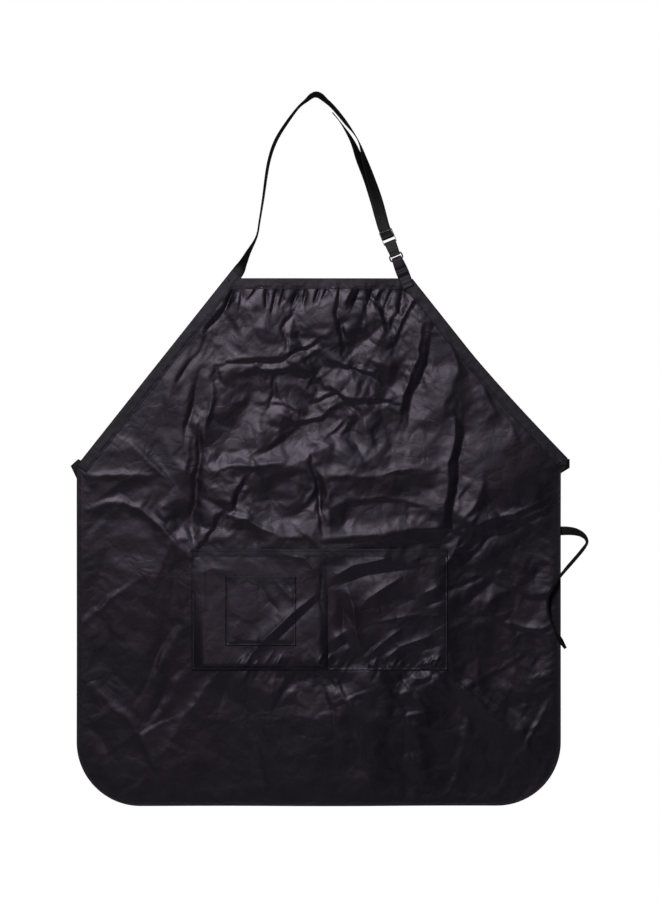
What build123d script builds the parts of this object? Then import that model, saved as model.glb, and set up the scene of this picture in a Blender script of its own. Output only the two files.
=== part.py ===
from build123d import *
import os
from math import cos, pi, radians, sin, tan

# An apron that hangs by its neck strap from a peg. Millimetres, +Z up, the front faces -Y.
# The origin is the underside of the strap where the peg carries it.
# Depths are given as distance in front of the cloth's middle plane, so the back is negative.

# ---- Driving dimensions ----

# Cloth panel
PANEL_X = 4.0            # the panel's centre line, right of the peg
PANEL_HALF_W = 350.0     # half the skirt's width, under the edge hem
BIB_HALF_W = 135.0       # half the bib's width along its top
BIB_TOP = -271.0
WAIST = -542.0           # where the slanting edges meet the straight sides
BOTTOM = -1034.0
CORNER_R = 92.0
CLOTH_T = 1.0
PLY_T = 0.8              # one turned ply of hem or tape
PROUD = 1.0              # how far a folded edge stands out past the cut edge
BIB_HEM_W = 16.0
BINDING_W = 17.5
EDGE_HEM_W = 6.0
EAR = 17.0               # how far the left binding runs on past the bib's top

# Pockets
POCKET_X = (-180.0, 191.0)
POCKET_Z = (-838.0, -663.0)
DIVIDER_X = 16.0
SMALL_X = (-131.0, -29.0)
SMALL_Z = (-802.0, -702.5)
POCKET_GAP = 6.0         # the room inside each pocket, front to back
POCKET_T = 1.2
POCKET_HEM_W = 12.0
TACK = (9.0, 2.0, 0.6)   # one thread tack: along the hem, down, thick

# Strap and buckle
STRAP_W = 17.5
STRAP_T = 1.3
PEG_R = 6.0              # the peg that the strap hangs from
BUCKLE_TILT = 22.5       # the buckle's lean from the vertical, in degrees
RING_PIVOT = (117.8, -243.1)   # X and Z of the ring's lower wire
WIRE_R = 1.1
RING_PITCH = 8.5         # the ring's lower wire to its upper wire
RING_W = 18.5            # between the middles of its two end wires
RING_CORNER_R = 2.6
LINK_W = 14.6
LINK_PITCH = 18.3        # the ring's upper wire to the adjuster's lowest bar
BAR_R = 1.0
MIDDLE_BAR_R = 1.4
LOW_TO_MIDDLE = 8.9      # between the adjuster's bars
MIDDLE_TO_TOP = 8.8
TOP_BAR_DEPTH = 1.5      # the top bar stands in front of both plies
RAIL_T = 0.9
RAIL_GAP = 0.3           # strap edge to rail
FIT_GAP = 0.3            # webbing to the bar or wire that it goes round
TAB_W = 14.6
TAB_ROOM_R = 3.6         # inside the tab's loop, round the ring's wire
TAB_T = 1.2
TAB_SEWN_TO = 44.0       # how far down from the ring's lower wire the tab's two plies reach
TAB_OPENS_FROM = 22.0    # where the plies leave the bib and part
TAB_OPENS_TO = 6.0       # where they stand the loop's full width apart
TAB_BEND_R = 10.0
SEAM_GAP = 1.2           # between the strap and its sewn end, at the hinge line
STRAP_END_L = 20.0
WEAVE_ABOVE_TOP = 5.5    # where the webbing's two plies leave the adjuster, above its top bar
ARC_SLACK = 0.05         # keeps two arcs that share a short side from touching

# Waist ties
TIE_TUBE_R = 3.0
TIE_TAB_T = 1.4

OUTER_LAYER = CLOTH_T / 2 + PLY_T          # the face of any folded edge
POCKET_FRONT = CLOTH_T / 2 + POCKET_GAP + POCKET_T
SMALL_FRONT = POCKET_FRONT + POCKET_GAP + POCKET_T

os.makedirs("parts", exist_ok=True)


def save(builder, name):
    """Labels a finished sub-part and writes it as its own node."""
    builder.part.label = name
    export_step(builder.part, f"parts/{name}.step")


def facing(depth):
    """A plane parallel to the cloth, in front of its middle plane, with X across and Z up."""
    return Plane.XZ.offset(depth)


# ---- Cloth panel, hems and bindings ----

slant_run = Vector(PANEL_HALF_W - BIB_HALF_W, WAIST - BIB_TOP)
SLANT_LENGTH = slant_run.length
SLANT = slant_run.normalized()
OUTWARD = Vector(-SLANT.Y, SLANT.X)        # square to the right slanting edge, out of the cloth


def slant_point(side, along, out):
    """A point by the slanting edge of one side (1 right, -1 left): along it from the bib's top, and out."""
    corner = Vector(BIB_HALF_W, BIB_TOP)
    point = corner + SLANT * along + OUTWARD * out
    return (PANEL_X + side * point.X, point.Y)


def skirt_line(inset):
    """The U of both sides and the bottom, set in from the cut edge."""
    half = PANEL_HALF_W - inset
    low = BOTTOM + inset
    points = [
        (PANEL_X - half, WAIST),
        (PANEL_X - half, low),
        (PANEL_X + half, low),
        (PANEL_X + half, WAIST),
    ]
    return FilletPolyline(*points, radius=CORNER_R - inset)


with BuildPart() as apron_panel:
    with BuildSketch(facing(-CLOTH_T / 2)):
        with BuildLine():
            skirt = skirt_line(0)
            Polyline(
                skirt @ 0,
                (PANEL_X - BIB_HALF_W, BIB_TOP),
                (PANEL_X + BIB_HALF_W, BIB_TOP),
                skirt @ 1,
            )
        make_face()
    extrude(amount=CLOTH_T)


def binding(side, top):
    """A tape folded over one slanting edge, from above or at the bib's top down to the waist corner."""
    outline = [
        slant_point(side, top, PROUD),
        slant_point(side, SLANT_LENGTH, PROUD),
        slant_point(side, SLANT_LENGTH, PROUD - BINDING_W),
        slant_point(side, top, PROUD - BINDING_W),
    ]
    with BuildPart() as tape:
        with BuildSketch(facing(0)):
            with BuildLine():
                Polyline(*outline, close=True)
            make_face()
        extrude(amount=OUTER_LAYER, both=True)
        add(apron_panel.part, mode=Mode.SUBTRACT)
    return tape


armhole_binding_left = binding(-1, -EAR)
armhole_binding_right = binding(1, 0)

with BuildPart() as bib_hem:
    with BuildSketch(facing(0)):
        with Locations((PANEL_X, BIB_TOP + PROUD)):
            Rectangle(2 * BIB_HALF_W, BIB_HEM_W, align=(Align.CENTER, Align.MAX))
    extrude(amount=OUTER_LAYER, both=True)
    add(apron_panel.part, mode=Mode.SUBTRACT)
    add(armhole_binding_left.part, mode=Mode.SUBTRACT)
    add(armhole_binding_right.part, mode=Mode.SUBTRACT)

with BuildPart() as edge_hem:
    with BuildSketch(facing(0)):
        with BuildLine():
            outer = skirt_line(-PROUD)
            inner = skirt_line(EDGE_HEM_W - PROUD)
            Line(outer @ 0, inner @ 0)
            Line(outer @ 1, inner @ 1)
        make_face()
    extrude(amount=OUTER_LAYER, both=True)
    add(apron_panel.part, mode=Mode.SUBTRACT)
    add(armhole_binding_left.part, mode=Mode.SUBTRACT)
    add(armhole_binding_right.part, mode=Mode.SUBTRACT)

# The bands' cut ends leave slivers beyond the corner of a binding: only the band itself is kept.
bib_hem.part = bib_hem.part.solids().sort_by(SortBy.VOLUME)[-1]
edge_hem.part = edge_hem.part.solids().sort_by(SortBy.VOLUME)[-1]

save(apron_panel, "apron_panel")
save(armhole_binding_left, "armhole_binding_left")
save(armhole_binding_right, "armhole_binding_right")
save(bib_hem, "bib_hem")
save(edge_hem, "edge_hem")

# ---- Pockets ----


def pouch(across, up, back, walls):
    """A patch pocket: a front ply on a gap, closed at its bottom and by a wall at each X in walls."""
    width = across[1] - across[0]
    height = up[1] - up[0]
    with BuildPart() as pocket:
        with BuildSketch(facing(back + POCKET_GAP)):
            with Locations((across[0], up[0])):
                Rectangle(width, height, align=Align.MIN)
        extrude(amount=POCKET_T)
        with BuildSketch(facing(back)):
            with Locations((across[0], up[0])):
                Rectangle(width, POCKET_T, align=Align.MIN)
            for wall in walls:
                with Locations((wall, up[0])):
                    Rectangle(POCKET_T, height, align=(Align.CENTER, Align.MIN))
        extrude(amount=POCKET_GAP)
    return pocket


def pouch_hem(across, top, front, pocket):
    """The band turned over a pocket's top edge, short of its side walls."""
    width = across[1] - across[0] - 2 * POCKET_T
    with BuildPart() as band:
        with BuildSketch(facing(front - POCKET_T - PLY_T)):
            with Locations(((across[0] + across[1]) / 2, top + PROUD)):
                Rectangle(width, POCKET_HEM_W, align=(Align.CENTER, Align.MAX))
        extrude(amount=POCKET_T + 2 * PLY_T)
        add(pocket.part, mode=Mode.SUBTRACT)
    return band


wide_walls = [POCKET_X[0] + POCKET_T / 2, DIVIDER_X, POCKET_X[1] - POCKET_T / 2]
small_walls = [SMALL_X[0] + POCKET_T / 2, SMALL_X[1] - POCKET_T / 2]
pocket_panel = pouch(POCKET_X, POCKET_Z, CLOTH_T / 2, wide_walls)
small_pocket = pouch(SMALL_X, SMALL_Z, POCKET_FRONT, small_walls)
pocket_hem = pouch_hem(POCKET_X, POCKET_Z[1], POCKET_FRONT, pocket_panel)
small_pocket_hem = pouch_hem(SMALL_X, SMALL_Z[1], SMALL_FRONT, small_pocket)

with BuildPart() as bar_tacks:
    tack_half = TACK[0] / 2
    wide_tacks = [
        (POCKET_X[0] + POCKET_T + tack_half, POCKET_Z[1] - TACK[1]),
        (DIVIDER_X, POCKET_Z[1] - TACK[1]),
        (POCKET_X[1] - POCKET_T - tack_half, POCKET_Z[1] - TACK[1]),
    ]
    small_tacks = [
        (SMALL_X[0] + POCKET_T + tack_half, SMALL_Z[1] - TACK[1]),
        (SMALL_X[1] - POCKET_T - tack_half, SMALL_Z[1] - TACK[1]),
    ]
    for front, places in ((POCKET_FRONT, wide_tacks), (SMALL_FRONT, small_tacks)):
        with BuildSketch(facing(front + PLY_T)):
            with Locations(*places):
                Rectangle(TACK[0], TACK[1])
        extrude(amount=TACK[2])

save(pocket_panel, "pocket_panel")
save(pocket_hem, "pocket_hem")
save(small_pocket, "small_pocket")
save(small_pocket_hem, "small_pocket_hem")
save(bar_tacks, "bar_tacks")

# ---- Buckle: ring, link loop, adjuster and tab, all on one leaning line ----

LEAN_UP = Vector(-sin(radians(BUCKLE_TILT)), 0, cos(radians(BUCKLE_TILT)))
LEAN_ACROSS = Vector(cos(radians(BUCKLE_TILT)), 0, sin(radians(BUCKLE_TILT)))
RING_TOP = RING_PITCH
LOW_BAR = RING_TOP + LINK_PITCH
MIDDLE_BAR = LOW_BAR + LOW_TO_MIDDLE
TOP_BAR = MIDDLE_BAR + MIDDLE_TO_TOP

pivot = Vector(RING_PIVOT[0], 0, RING_PIVOT[1])
profile_plane = Plane(origin=pivot, x_dir=LEAN_UP, z_dir=LEAN_ACROSS)    # up the buckle, then forward
buckle_face = Plane(origin=pivot, x_dir=LEAN_ACROSS, z_dir=(0, -1, 0))   # across, then up the buckle

with BuildPart() as ring:
    half = RING_W / 2
    with BuildLine(buckle_face) as ring_line:
        corners = [(-half, 0), (half, 0), (half, RING_PITCH), (-half, RING_PITCH)]
        FilletPolyline(*corners, radius=RING_CORNER_R, close=True)
    with BuildSketch(profile_plane):
        Circle(WIRE_R)
    sweep(path=ring_line.wire())

with BuildPart() as link_loop:
    loop_r = WIRE_R + FIT_GAP
    with BuildSketch(profile_plane):
        with Locations(((RING_TOP + LOW_BAR) / 2, 0)):
            SlotCenterToCenter(LINK_PITCH, 2 * (loop_r + STRAP_T))
            SlotCenterToCenter(LINK_PITCH, 2 * loop_r, mode=Mode.SUBTRACT)
    extrude(amount=LINK_W / 2, both=True)

rail_inside = STRAP_W / 2 + RAIL_GAP
with BuildPart() as adjuster:
    with BuildSketch(profile_plane):
        with Locations((LOW_BAR, 0)):
            Circle(BAR_R)
        with Locations((MIDDLE_BAR, 0)):
            Circle(MIDDLE_BAR_R)
        with Locations((TOP_BAR, TOP_BAR_DEPTH)):
            Circle(BAR_R)
    extrude(amount=rail_inside + RAIL_T / 2, both=True)
    for side in (-1, 1):
        with BuildSketch(profile_plane.offset(side * (rail_inside + RAIL_T / 2))):
            with BuildLine():
                Polyline((LOW_BAR, 0), (MIDDLE_BAR, 0), (TOP_BAR, TOP_BAR_DEPTH))
                offset(amount=BAR_R, side=Side.BOTH)
            make_face()
        extrude(amount=RAIL_T / 2, both=True)

with BuildPart() as ring_tab:
    flat = OUTER_LAYER + TAB_T / 2
    loop = TAB_ROOM_R + TAB_T / 2
    tab_points = [
        (-TAB_SEWN_TO, flat),
        (-TAB_OPENS_FROM, flat),
        (-TAB_OPENS_TO, loop),
        (loop, loop),
    ]
    tab_points += [(up, -forward) for up, forward in reversed(tab_points)]
    turn = loop - ARC_SLACK
    with BuildLine(profile_plane) as tab_line:
        FilletPolyline(*tab_points, radius=[TAB_BEND_R, TAB_BEND_R, turn, turn, TAB_BEND_R, TAB_BEND_R])
    with BuildSketch(Plane(origin=tab_line.line @ 0, x_dir=LEAN_ACROSS, z_dir=LEAN_UP)):
        Rectangle(TAB_W, TAB_T)
    sweep(path=tab_line.wire())

save(ring, "ring")
save(link_loop, "link_loop")
save(adjuster, "adjuster")
save(ring_tab, "ring_tab")

# ---- Neck strap ----


def ribbon(stations, first_run, last_run):
    """Flat webbing through (x, y, z, twist): at twist 0 its face is forward, at 90 its edge is."""
    points = [Vector(x, y, z) for x, y, z, twist in stations]
    with BuildPart() as strip:
        for index, station in enumerate(stations):
            if index == 0:
                along = first_run
            elif index == len(stations) - 1:
                along = last_run
            else:
                along = (points[index + 1] - points[index - 1]).normalized()
            across = Vector(0, 1, 0).cross(along).normalized()
            turn = radians(station[3])
            width_dir = across * cos(turn) - Vector(0, 1, 0) * sin(turn)
            with BuildSketch(Plane(origin=points[index], x_dir=width_dir, z_dir=along)):
                Rectangle(STRAP_W, STRAP_T)
        loft(ruled=True)
    return strip


def on_buckle(up, forward):
    """A point of the buckle's middle profile as (x, y, z)."""
    point = pivot + LEAN_UP * up - Vector(0, forward, 0)
    return (point.X, point.Y, point.Z)


def direction(start, end):
    """The unit direction from one (x, z) point to another."""
    return Vector(end[0] - start[0], 0, end[1] - start[1]).normalized()


# Over the peg the webbing lies flat on it, so from the front its edge shows.
# The legs leave the peg at 45 degrees, so the corner of their middle lines is this high.
PEG_ARC_R = PEG_R + STRAP_T / 2
PEG_CORNER = STRAP_T / 2 + PEG_ARC_R * (1 / cos(radians(45)) - 1)
PEG_RUN = 24.0
LEG_BEND_RADII = (40, 60)      # where a leg curves in towards the peg, lower bend first
over_peg = [
    (-58, -70),
    (-41, -41),
    (-PEG_RUN, PEG_CORNER - PEG_RUN),
    (0, PEG_CORNER),
    (PEG_RUN, PEG_CORNER - PEG_RUN),
    (42, -41),
    (61, -70),
]

ear_start = slant_point(-1, -EAR - SEAM_GAP, PROUD - BINDING_W / 2)
ear_run = direction(slant_point(-1, 0, 0), slant_point(-1, -EAR, 0))
SEWN_Y = OUTER_LAYER + STRAP_T / 2
left_leg = [
    (ear_start[0], SEWN_Y, ear_start[1], 0),
    (-106, 1.5, -248, 38),
    (-99, 1, -234, 60),
    (-86, 0, -209, 78),
    (-77, 0, -157, 85),
    (-68, 0, -99, 90),
    (over_peg[0][0], 0, over_peg[0][1], 90),
]

WEAVE_TOP = TOP_BAR + WEAVE_ABOVE_TOP
MAIN_FORWARD = TOP_BAR_DEPTH - BAR_R - FIT_GAP - STRAP_T / 2
TAIL_FORWARD = MAIN_FORWARD - STRAP_T - FIT_GAP
FOLD_R = MIDDLE_BAR_R + FIT_GAP + STRAP_T / 2
right_leg = [
    (*on_buckle(WEAVE_TOP, MAIN_FORWARD), 0),
    (88.5, 0, -157, -20),
    (80, 0, -128, -50),
    (71, 0, -99, -75),
    (over_peg[-1][0], 0, over_peg[-1][1], -90),
]
tail = [
    (*on_buckle(WEAVE_TOP, TAIL_FORWARD), 0),
    (86.5, 2.5, -157, -20),
    (76, 3, -128, -50),
    (64, 2, -99, -75),
    (52, 0, -70, -85),
    (34, 0, -42, -85),
    (24, 0, -30, -88),
]

# In the adjuster both plies pass behind the top bar and the webbing turns back round the middle bar.
weave_points = [
    (WEAVE_TOP, MAIN_FORWARD),
    (MIDDLE_BAR + 7, MAIN_FORWARD),
    (MIDDLE_BAR + 1.5, FOLD_R),
    (MIDDLE_BAR - FOLD_R, FOLD_R),
    (MIDDLE_BAR - FOLD_R, -FOLD_R),
    (MIDDLE_BAR + 3, -FOLD_R),
    (WEAVE_TOP, TAIL_FORWARD),
]
fold_arc = FOLD_R - ARC_SLACK
weave_radii = [3, 1.5, fold_arc, fold_arc, 6]
with BuildPart() as neck_strap:
    with BuildLine(profile_plane) as weave_line:
        FilletPolyline(*weave_points, radius=weave_radii)
    with BuildSketch(Plane(origin=on_buckle(*weave_points[0]), x_dir=LEAN_ACROSS, z_dir=LEAN_UP)):
        Rectangle(STRAP_W, STRAP_T)
    sweep(path=weave_line.wire())
    with BuildLine(Plane.XZ) as peg_line:
        FilletPolyline(*over_peg, radius=[*LEG_BEND_RADII, PEG_ARC_R, *reversed(LEG_BEND_RADII)])
    left_run = direction(over_peg[0], over_peg[1])
    with BuildSketch(Plane(origin=peg_line.line @ 0, x_dir=(0, 1, 0), z_dir=left_run)):
        Rectangle(STRAP_W, STRAP_T)
    sweep(path=peg_line.wire())
    add(ribbon(left_leg, ear_run, left_run).part)
    add(ribbon(right_leg, LEAN_UP, direction(over_peg[-1], over_peg[-2])).part)
    add(ribbon(tail, LEAN_UP, direction((34, -42), (24, -30))).part)

with BuildPart() as strap_end:
    with BuildSketch(facing(-SEWN_Y - STRAP_T / 2)):
        with BuildLine():
            Polyline(
                slant_point(-1, -EAR, PROUD),
                slant_point(-1, STRAP_END_L - EAR, PROUD),
                slant_point(-1, STRAP_END_L - EAR, PROUD - STRAP_W),
                slant_point(-1, -EAR, PROUD - STRAP_W),
                close=True,
            )
        make_face()
    extrude(amount=STRAP_T)

save(neck_strap, "neck_strap")
save(strap_end, "strap_end")

# ---- Waist ties ----

# Each route starts on the back of its side corner. The right tie sweeps in behind the skirt, comes out
# past the side edge, turns back and hangs in front of the edge. The left tie hangs behind the skirt.
TIE_ROUTES = {
    "waist_tie_right": [
        (346, 5.7, -546),
        (312, 9, -549),
        (287, 11, -560),
        (267, 12, -577),
        (260, 12, -600),
        (267, 12, -623),
        (287, 11, -638),
        (312, 10, -642),
        (337, 9, -638),
        (359, 7, -636),
        (376, 5, -637),
        (388, 1, -642),
        (394, -3, -651),
        (388, -7, -661),
        (376, -9, -675),
        (360, -10.5, -693),
        (345, -11, -712),
        (335, -11, -731),
        (334, -11, -749),
        (339, -11, -768),
        (348, -11, -786),
        (361, -11, -806),
    ],
    "waist_tie_left": [
        (-341, 5.7, -543),
        (-335, 9, -590),
        (-328, 11, -632),
        (-324, 11, -678),
        (-327, 11, -726),
        (-333, 11, -774),
        (-331, 11, -822),
        (-323, 11, -868),
        (-317, 11, -914),
        (-318, 11, -960),
        (-323, 11, -1000),
    ],
}


def bend_radii(points):
    """The largest arc at each inner point: 0.45 of its shorter run over the tangent of half its turn."""
    radii = []
    for before, here, after in zip(points, points[1:], points[2:]):
        arriving = Vector(here) - Vector(before)
        leaving = Vector(after) - Vector(here)
        half_turn = radians(arriving.get_angle(leaving)) / 2
        radii.append(0.45 * min(arriving.length, leaving.length) / tan(half_turn))
    return radii


for tie_name, route in TIE_ROUTES.items():
    route_radii = bend_radii(route)
    with BuildPart() as tie:
        with BuildLine() as tie_line:
            FilletPolyline(*route, radius=route_radii)
        with BuildSketch(Plane(origin=route[0], z_dir=Vector(route[1]) - Vector(route[0]))):
            Circle(TIE_TUBE_R)
        sweep(path=tie_line.wire())
    tie_length = tie_line.wire().length
    tube_volume = pi * TIE_TUBE_R**2 * tie_length
    print(f"{tie_name}: length {tie_length:.0f} mm, smallest radius {min(route_radii):.1f} mm")
    print("  radii", [round(r) for r in route_radii], f"volume ratio {tie.part.volume / tube_volume:.4f}")
    save(tie, tie_name)

# Each tie's folded end is sewn behind a side corner and stands out past it: outlines as (X, Z).
TIE_TAB_OUTLINES = {
    "tie_tab_left": [(-356, -542), (-345, -532), (-329, -541), (-329, -555), (-346, -563)],
    "tie_tab_right": [(368, -532), (368, -545), (355, -553), (338, -556), (338, -541), (346, -531)],
}

for tab_name, outline in TIE_TAB_OUTLINES.items():
    with BuildPart() as tie_tab:
        with BuildSketch(facing(-OUTER_LAYER - TIE_TAB_T)):
            with BuildLine():
                Polyline(*outline, close=True)
            make_face()
        extrude(amount=TIE_TAB_T)
    save(tie_tab, tab_name)
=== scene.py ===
import math
import random

import bpy
import numpy as np
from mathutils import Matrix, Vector, geometry, noise


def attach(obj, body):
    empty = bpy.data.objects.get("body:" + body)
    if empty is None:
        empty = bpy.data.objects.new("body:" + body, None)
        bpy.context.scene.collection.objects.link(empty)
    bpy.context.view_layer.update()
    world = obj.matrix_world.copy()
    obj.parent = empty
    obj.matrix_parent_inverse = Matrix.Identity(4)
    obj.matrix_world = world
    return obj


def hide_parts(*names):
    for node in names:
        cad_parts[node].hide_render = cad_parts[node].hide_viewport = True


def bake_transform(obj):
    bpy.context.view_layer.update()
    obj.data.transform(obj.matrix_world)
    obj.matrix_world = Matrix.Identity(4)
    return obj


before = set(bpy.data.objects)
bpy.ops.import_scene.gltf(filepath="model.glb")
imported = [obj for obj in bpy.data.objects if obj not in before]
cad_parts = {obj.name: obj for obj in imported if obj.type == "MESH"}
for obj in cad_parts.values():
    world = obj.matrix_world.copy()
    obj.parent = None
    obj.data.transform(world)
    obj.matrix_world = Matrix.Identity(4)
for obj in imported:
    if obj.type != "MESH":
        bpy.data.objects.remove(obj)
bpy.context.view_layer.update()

# A black nylon apron hanging by its neck strap from a peg. Metres, +Z up, the front faces -Y.
# The cloth is one height field: depth is how far a point stands in front of the panel's plane.
# Hems, bindings, pockets, stitches and tacks all read that field, so they follow the same folds.

# ---- Driving dimensions ----

PANEL_X = 0.004
HALF_W = 0.350
BIB_HALF_W = 0.135
BIB_TOP = -0.271
WAIST = -0.542
BOTTOM = -1.034
CORNER_R = 0.092
PROUD = 0.001            # how far a folded edge stands out past the cut edge
CLOTH_T = 0.0005

BIB_HEM_W = 0.016
BINDING_W = 0.0175
EDGE_HEM_W = 0.006
EAR = 0.017              # how far the left binding runs on past the bib's top

POCKET_X = (-0.180, 0.191)
POCKET_Z = (-0.838, -0.663)
DIVIDER_X = 0.016
SMALL_X = (-0.131, -0.029)
SMALL_Z = (-0.802, -0.7025)
POCKET_HEM_W = 0.012

STRAP_W = 0.0175
STRAP_T = 0.0013
BUCKLE_TILT = math.radians(22.5)
RING_PIVOT = Vector((0.1178, 0.0, -0.2431))
RING_TOP = 0.0085        # heights up the buckle's line, from the ring's lower wire
LOW_BAR = 0.0268
MIDDLE_BAR = 0.0357
WEAVE_TOP = 0.050

FLARE_OUT = 0.0185       # how far the right waist corner is pulled out
FLARE_TOP = -0.374       # from here down to the widest place, and back in at the end
FLARE_WIDEST = -0.531
FLARE_END = -0.553

TIE_W = 0.013
TIE_T = 0.0009

FIELD_STEP = 0.002       # spacing of the height field
SIM_STEP = 0.004         # spacing of the simulated cloth
WANDER_STEP = 0.004      # spacing at which the folds' wandering is worked out
SIM_FRAMES = 8
EXTRA_CLOTH = 0.012      # how much longer than its place the most crumpled cloth is
FOLD_LIMIT = 0.0075      # the deepest that a fold may stand from the panel's plane
SEED = 7


# ---- Camera ----

CAMERA_DISTANCE = 4.0
VIEW_HEIGHT = 1.305      # what the frame's long side takes in, at the panel
SENSOR = 36.0
camera_data = bpy.data.cameras.new("camera")
camera_data.sensor_fit = "AUTO"
camera_data.sensor_width = SENSOR
camera_data.lens = SENSOR * CAMERA_DISTANCE / VIEW_HEIGHT
camera = bpy.data.objects.new("camera", camera_data)
camera.location = (0.0203, -CAMERA_DISTANCE, -0.519)
camera.rotation_euler = (math.radians(90), 0, 0)
bpy.context.scene.collection.objects.link(camera)
bpy.context.scene.camera = camera


# ---- Materials ----


def new_material(name, roughness, metallic=0.0, sheen=0.0):
    """A principled material and its node tree, shader and texture coordinates."""
    material = bpy.data.materials.new(name)
    material.use_nodes = True
    tree = material.node_tree
    shader = tree.nodes["Principled BSDF"]
    shader.inputs["Roughness"].default_value = roughness
    shader.inputs["Metallic"].default_value = metallic
    shader.inputs["Sheen Weight"].default_value = sheen
    shader.inputs["Sheen Roughness"].default_value = 0.4
    coords = tree.nodes.new("ShaderNodeTexCoord").outputs["Object"]
    return material, tree, shader, coords


def noise_texture(tree, coords, scale, detail=4.0, distortion=0.0):
    node = tree.nodes.new("ShaderNodeTexNoise")
    node.inputs["Scale"].default_value = scale
    node.inputs["Detail"].default_value = detail
    node.inputs["Distortion"].default_value = distortion
    tree.links.new(coords, node.inputs["Vector"])
    return node.outputs["Fac"]


def thread_waves(tree, coords, axis, period):
    """Fine parallel threads square to one axis."""
    node = tree.nodes.new("ShaderNodeTexWave")
    node.bands_direction = axis
    node.inputs["Scale"].default_value = math.tau / (20 * period)
    node.inputs["Distortion"].default_value = 0.4
    node.inputs["Detail"].default_value = 1.0
    tree.links.new(coords, node.inputs["Vector"])
    return node.outputs["Fac"]


def ramp(tree, value, stops):
    node = tree.nodes.new("ShaderNodeValToRGB")
    elements = node.color_ramp.elements
    while len(elements) < len(stops):
        elements.new(0.5)
    for element, (place, colour) in zip(elements, stops):
        element.position = place
        element.color = (*colour, 1.0)
    tree.links.new(value, node.inputs["Fac"])
    return node.outputs["Color"]


def spread(tree, value, low, high):
    """Maps a 0 to 1 value onto low to high."""
    node = tree.nodes.new("ShaderNodeMapRange")
    node.inputs["To Min"].default_value = low
    node.inputs["To Max"].default_value = high
    tree.links.new(value, node.inputs["Value"])
    return node.outputs["Result"]


def bump(tree, shader, layers):
    """Stacks (height value, distance in metres, strength) layers of bump onto the shader."""
    normal = None
    for height, distance, strength in layers:
        node = tree.nodes.new("ShaderNodeBump")
        node.inputs["Distance"].default_value = distance
        node.inputs["Strength"].default_value = strength
        tree.links.new(height, node.inputs["Height"])
        if normal is not None:
            tree.links.new(normal, node.inputs["Normal"])
        normal = node.outputs["Normal"]
    tree.links.new(normal, shader.inputs["Normal"])


def crease_lines(tree, coords, scale):
    """Fine crisp creases: the borders of irregular cells, bent by noise and strong only in patches."""
    warp = tree.nodes.new("ShaderNodeTexNoise")
    warp.inputs["Scale"].default_value = 22.0
    tree.links.new(coords, warp.inputs["Vector"])
    bend = tree.nodes.new("ShaderNodeVectorMath")
    bend.operation = "MULTIPLY_ADD"
    bend.inputs[1].default_value = (0.05, 0.05, 0.05)
    tree.links.new(warp.outputs["Color"], bend.inputs[0])
    tree.links.new(coords, bend.inputs[2])
    cells = tree.nodes.new("ShaderNodeTexVoronoi")
    cells.feature = "DISTANCE_TO_EDGE"
    cells.inputs["Scale"].default_value = scale
    tree.links.new(bend.outputs["Vector"], cells.inputs["Vector"])
    limit = tree.nodes.new("ShaderNodeClamp")
    limit.inputs["Max"].default_value = 0.25
    tree.links.new(cells.outputs["Distance"], limit.inputs["Value"])
    patches = tree.nodes.new("ShaderNodeMath")
    patches.operation = "MULTIPLY"
    tree.links.new(limit.outputs["Result"], patches.inputs[0])
    tree.links.new(noise_texture(tree, coords, 12.0, 1.0), patches.inputs[1])
    return patches.outputs["Value"]


def nylon(name, dark, pale, roughness, crinkle, creased):
    """Coated plain-weave nylon: uneven dye, a satin coating, fine crinkles and a tight weave."""
    material, tree, shader, coords = new_material(name, roughness, sheen=0.015)
    shader.inputs["Specular Tint"].default_value = (0.92, 0.82, 1.0, 1.0)
    patches = noise_texture(tree, coords, 7.0, 3.0, 0.6)
    tree.links.new(ramp(tree, patches, [(0.35, dark), (0.65, pale)]), shader.inputs["Base Color"])
    worn = noise_texture(tree, coords, 38.0, 5.0)
    tree.links.new(spread(tree, worn, roughness - 0.07, roughness + 0.09), shader.inputs["Roughness"])
    fine = noise_texture(tree, coords, 170.0, 2.0, 0.8)
    bump(tree, shader, [
        (crease_lines(tree, coords, 48.0), 0.0030, creased),
        (fine, 0.0006, crinkle),
        (thread_waves(tree, coords, "X", 0.0006), 0.00006, 0.08),
        (thread_waves(tree, coords, "Z", 0.0006), 0.00006, 0.08),
    ])
    return material


def webbing(name, dark, pale, roughness):
    """Ribbed tape: the ribs are geometry, this adds the yarn's fuzz, sheen and uneven dye."""
    material, tree, shader, coords = new_material(name, roughness, sheen=0.02)
    shader.inputs["Specular IOR Level"].default_value = 0.3
    patches = noise_texture(tree, coords, 60.0, 4.0)
    tree.links.new(ramp(tree, patches, [(0.3, dark), (0.7, pale)]), shader.inputs["Base Color"])
    yarn = noise_texture(tree, coords, 900.0, 3.0)
    tree.links.new(spread(tree, yarn, roughness - 0.06, roughness + 0.08), shader.inputs["Roughness"])
    bump(tree, shader, [(yarn, 0.0003, 0.5)])
    return material


def plated_wire(name):
    """Dark nickel plating with drawn-wire scratches and slightly dulled patches."""
    material, tree, shader, coords = new_material(name, 0.3, metallic=1.0)
    dull = noise_texture(tree, coords, 260.0, 4.0)
    tree.links.new(
        ramp(tree, dull, [(0.3, (0.06, 0.06, 0.063)), (0.75, (0.13, 0.13, 0.128))]),
        shader.inputs["Base Color"],
    )
    tree.links.new(spread(tree, dull, 0.22, 0.42), shader.inputs["Roughness"])
    bump(tree, shader, [(noise_texture(tree, coords, 1400.0, 2.0), 0.00005, 0.4)])
    return material


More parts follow.
